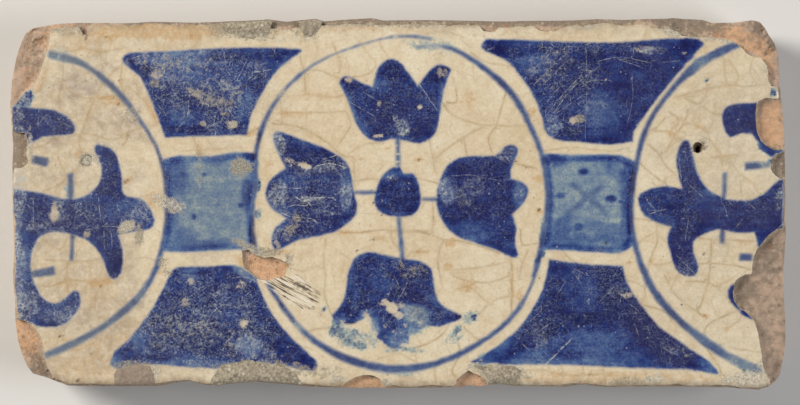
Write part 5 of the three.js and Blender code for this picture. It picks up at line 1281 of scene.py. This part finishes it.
def fired_clay():
    """Low-fired earthenware, broken: matt, sandy and pinkish buff, orange where fresh and grey with dirt,
    with painted shadow near black down the narrow nail shaft.
    """
    surface = Surface("fired_earthenware_clay")
    depth = add(surface, "SeparateXYZ", {"Vector": surface.place}).outputs["Z"]
    upper = add(surface, "MapRange", {
        "Value": depth, "From Min": (BODY_TOP - 3.0) * MM, "From Max": (BODY_TOP - 1.2) * MM,
    })
    lower = add(surface, "Math", {0: 1.0, 1: upper}, operation="SUBTRACT")
    # The knife dragged grains along the sides.
    dragged = drawn_out(surface, (9, 9, 0.4), roughness=0.6)
    grooves = add(surface, "MapRange", {"Value": dragged, "From Min": 0.42, "From Max": 0.6})
    grooves = all_of(surface, grooves, lower, 0.35)
    crumbs = add(surface, "MapRange", {"Value": "break", "From Min": 0.7, "From Max": 0.1})
    shaft_shadow = add(surface, "MapRange", {"Value": "shaft_shadow", "From Min": 0.4, "From Max": 0.9})
    colour = laid_over(
        surface, "#b29c87",
        ("#d6b69d", uneven(surface, 3.0, 0, 1)),
        ("#927b68", grooves),
        ("#cfc5ae", uneven(surface, 7, -1.6, 1.1), uneven(surface, 0.9, -0.2, 0.9), lower),
        ("#e0b38c", ragged_spot(surface, "fresh", 1.6, edge=0.4), upper),
        ("#8f8170", ragged_spot(surface, "grime", 1.8, edge=0.4), upper, 0.85),
        ("#7c6553", uneven(surface, 0.9, -0.15, 0.36)),
        ("#dccbb5", specks(surface, 0.7, 0.4, 0.3), 0.5),
        ("#6a5646", specks(surface, 0.9, 0.5, 0.25), 0.5),
        ("#b98260", specks(surface, 1.8, 0.7, 0.2), 0.5),
        ("#d8cab0", crumbs, uneven(surface, 0.8, -0.6, 0.9)),
        # Painted shadow: near black down the narrow nail shaft.
        ("#1c1611", shaft_shadow),
    )
    sandy = add(surface, "TexNoise", {
        "Vector": surface.place, "Scale": per(0.9), "Detail": 6.0, "Roughness": 0.75,
    })
    height = add(surface, "Math", {0: grooves, 1: -1.2, 2: sandy}, operation="MULTIPLY_ADD")
    return finished(surface, colour, 0.95, height, 0.5, IOR=EARTH_IOR)


def mortar(name, dark, pale, strong):
    """Old lime mortar with sand: a matt crust of pale and dark grains in a beige binder."""
    surface = Surface(name)
    colour = laid_over(
        surface, dark,
        (pale, uneven(surface, 1.0, 0, 1)),
        ("#d3cab4", uneven(surface, 0.45, -0.7, 1.1), strong),
        ("#584f42", uneven(surface, 0.6, -0.9, 0.9), strong),
        ("#ddd6c2", specks(surface, 0.8, 0.4, 0.2), strong),
    )
    height = add(surface, "TexNoise", {
        "Vector": surface.place, "Scale": per(0.8), "Detail": 5.0, "Roughness": 0.75,
    })
    return finished(surface, colour, 0.95, height, 0.3, IOR=EARTH_IOR)


def pale_floor():
    """Board under plain matt paint: pale and even, so that the tile stands out."""
    surface = Surface("pale_painted_board")
    grain = add(surface, "TexNoise", {"Vector": surface.place, "Scale": per(3), "Detail": 2.0})
    return finished(surface, "#d9d7d3", 0.8, grain, 0.02)


# Pieces

def place_piece(piece, node, material):
    piece.data.materials.append(material)
    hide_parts(node)
    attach(piece, "root")


SIDE_BANDS = 22
SLOPE_ABOVE_ARRIS = 0.7  # the sides have come in by this share of their slope when they reach the arris


def clay_body(material):
    """The clay: the face with its breaks, sides cut sloping, and a plain sanded back."""
    back = face_edges("biscuit_body", BODY_LOW[2])
    shrink = (back.max(axis=(0, 1)) - back.min(axis=(0, 1))) / TILE_SIZE[:2]
    shares = np.arange(1, SIDE_BANDS) / SIDE_BANDS
    levels = [(share, *(1 - (1 - shrink) * (share * SLOPE_ABOVE_ARRIS))) for share in shares]
    levels.append((1, *shrink))
    sanded = BODY_LOW[2] + 0.12 * (1 + roughened(2.4, 81, 4)) * soft_step(-in_tile, 0, 2)
    fields = {"fresh": spots(FRESH), "grime": spots(GRIME), "shaft_shadow": spots(NAIL_SHAFT), "break": glaze_cut}
    body = plate("biscuit_body.clay", in_tile + 0.05 * roughened(1.5, 82), clay_top, sanded,
                 stride=SLAB_STRIDE, levels=levels, fields=fields, sharp_degrees=55)
    place_piece(body, "biscuit_body", material)


def glaze_coat(material):
    """The coat of glaze, which ends where it has chipped or worn away."""
    coat = plate("tin_glaze.coat", glaze_cut, glaze_top, np.full(GRID_X.shape, BODY_TOP),
                 stride=SLAB_STRIDE, sharp_degrees=50)
    place_piece(coat, "tin_glaze", material)


def field_of_paint(name, material):
    """A thin film over the glaze. Where two fields meet, each ends half way between them."""
    rivals = np.minimum.reduce([field for other, field in own.items() if other != name])
    keep = np.maximum.reduce([own[name] - HALO, own[name] - rivals, glaze_cut + 0.04])
    film = plate(f"{name}.paint", keep, glaze_top + PAINT_LIFT, glaze_top + PAINT_LIFT / 4)
    place_piece(film, name, material)


def mortar_crust(name, material):
    """A crust of mortar: thickest in its middle, crumbling to nothing at its ragged edge."""
    outline = signed(face_edges(name, FACE)) + 0.55 * roughened(1.4, 91)
    keep = np.maximum(outline, in_tile + 0.15)
    thick = soft_step(-keep, 0, 1.1) * (0.16 + 0.16 * roughened(1.1, 92))
    crumbs = 0.1 * np.maximum(lumpy(0.5, 93), 0) * soft_step(-keep, 0, 0.4)
    crust = plate(f"{name}.crust", keep, glaze_top + 0.04 + thick + crumbs, glaze_top + 0.01, fields={})
    place_piece(crust, name, material)


def nail_hole_plug(material):
    """Grit in the left nail hole, to just below the face."""
    x, y = NAIL_HOLES["left"]
    keep = np.hypot(GRID_X - x, GRID_Y - y) - NAIL_HOLE_RADIUS + 0.03
    top = FACE - 0.1 + 0.2 * roughened(0.8, 95)
    plug = plate("nail_hole_grit.plug", keep, top, np.full(GRID_X.shape, FACE - 2.4), fields={})
    place_piece(plug, "nail_hole_grit", material)


# Studio

def camera():
    """Straight above the face, far off with a long lens, framed as the photograph is."""
    distance_off = 1500.0
    across = PHOTO_WIDTH * MM_PER_PIXEL
    data = bpy.data.cameras.new("camera")
    data.sensor_width = 36
    data.lens = data.sensor_width * distance_off / across
    data.clip_end = 10
    eye = bpy.data.objects.new("camera", data)
    x = (PHOTO_WIDTH / 2 - TILE_CENTRE_PIXEL[0]) * MM_PER_PIXEL
    y = (TILE_CENTRE_PIXEL[1] - PHOTO_HEIGHT / 2) * MM_PER_PIXEL
    eye.location = Vector((x, y, FACE + distance_off)) * MM
    bpy.context.scene.collection.objects.link(eye)
    bpy.context.scene.camera = eye


def soft_light(name, place, size, power, colour):
    data = bpy.data.lights.new(name, "AREA")
    data.shape = "DISK"
    data.size = size
    data.energy = power
    data.color = linear(colour)[:3]
    lamp = bpy.data.objects.new(name, data)
    lamp.location = place
    lamp.rotation_euler = (-Vector(place)).to_track_quat("-Z", "Y").to_euler()
    bpy.context.scene.collection.objects.link(lamp)


def studio(floor_material):
    bpy.ops.mesh.primitive_plane_add(size=4)
    floor = bpy.context.object
    floor.name = "floor"
    floor.data.materials.append(floor_material)
    soft_light("key", place=(-0.7, 0.35, 0.6), size=0.4, power=10.0, colour="#fffaf2")
    soft_light("fill", place=(0.75, -0.1, 0.6), size=0.5, power=5.0, colour="#f8faff")
    world = bpy.data.worlds.new("studio")
    bpy.context.scene.world = world
    world.use_nodes = True
    sky = world.node_tree.nodes["Background"]
    sky.inputs["Color"].default_value = linear("#dfe3e8")
    sky.inputs["Strength"].default_value = 0.16
    bpy.context.scene.view_settings.view_transform = "Standard"


def build():
    camera()
    glaze = tin_glaze()
    full = cobalt_paint("cobalt_painted_full", brushed=0.1, thinning=0.22, worn=1.0, grey=0.0, soft=0.26,
                        least=0.6)
    thin = cobalt_paint("cobalt_drawn_thin", brushed=0.05, thinning=0.1, worn=0.7, grey=0.22, soft=0.36,
                        least=0.3)
    wash = cobalt_paint("cobalt_washed_thin", brushed=0.05, thinning=0.0, worn=0.25, grey=0.06, soft=0.26,
                        least=1.0)
    clay = fired_clay()
    gritty = mortar("lime_and_sand_mortar", "#7d7262", "#b3a68e", 0.7)
    smeared = mortar("smeared_lime_mortar", "#8d7c6c", "#a39080", 0.15)
    clay_body(clay)
    glaze_coat(glaze)
    for names, slot, material in (
        (DARK, "cobalt_dark", full), (THIN, "cobalt_thin", thin), (WASHED, "cobalt_wash", wash),
    ):
        for name in names:
            # The left link's cross has faded into its wash.
            faded = name == "link_cross_left"
            field_of_paint(name, wash if faded else material)
    for name in CRUSTS:
        mortar_crust(name, smeared if name == "mortar_south_west" else gritty)
    nail_hole_plug(mortar("lime_and_grit_in_nail_hole", "#7a7061", "#d3c9b7", 0.8))
    studio(pale_floor())


build()
bpy.context.view_layer.update()
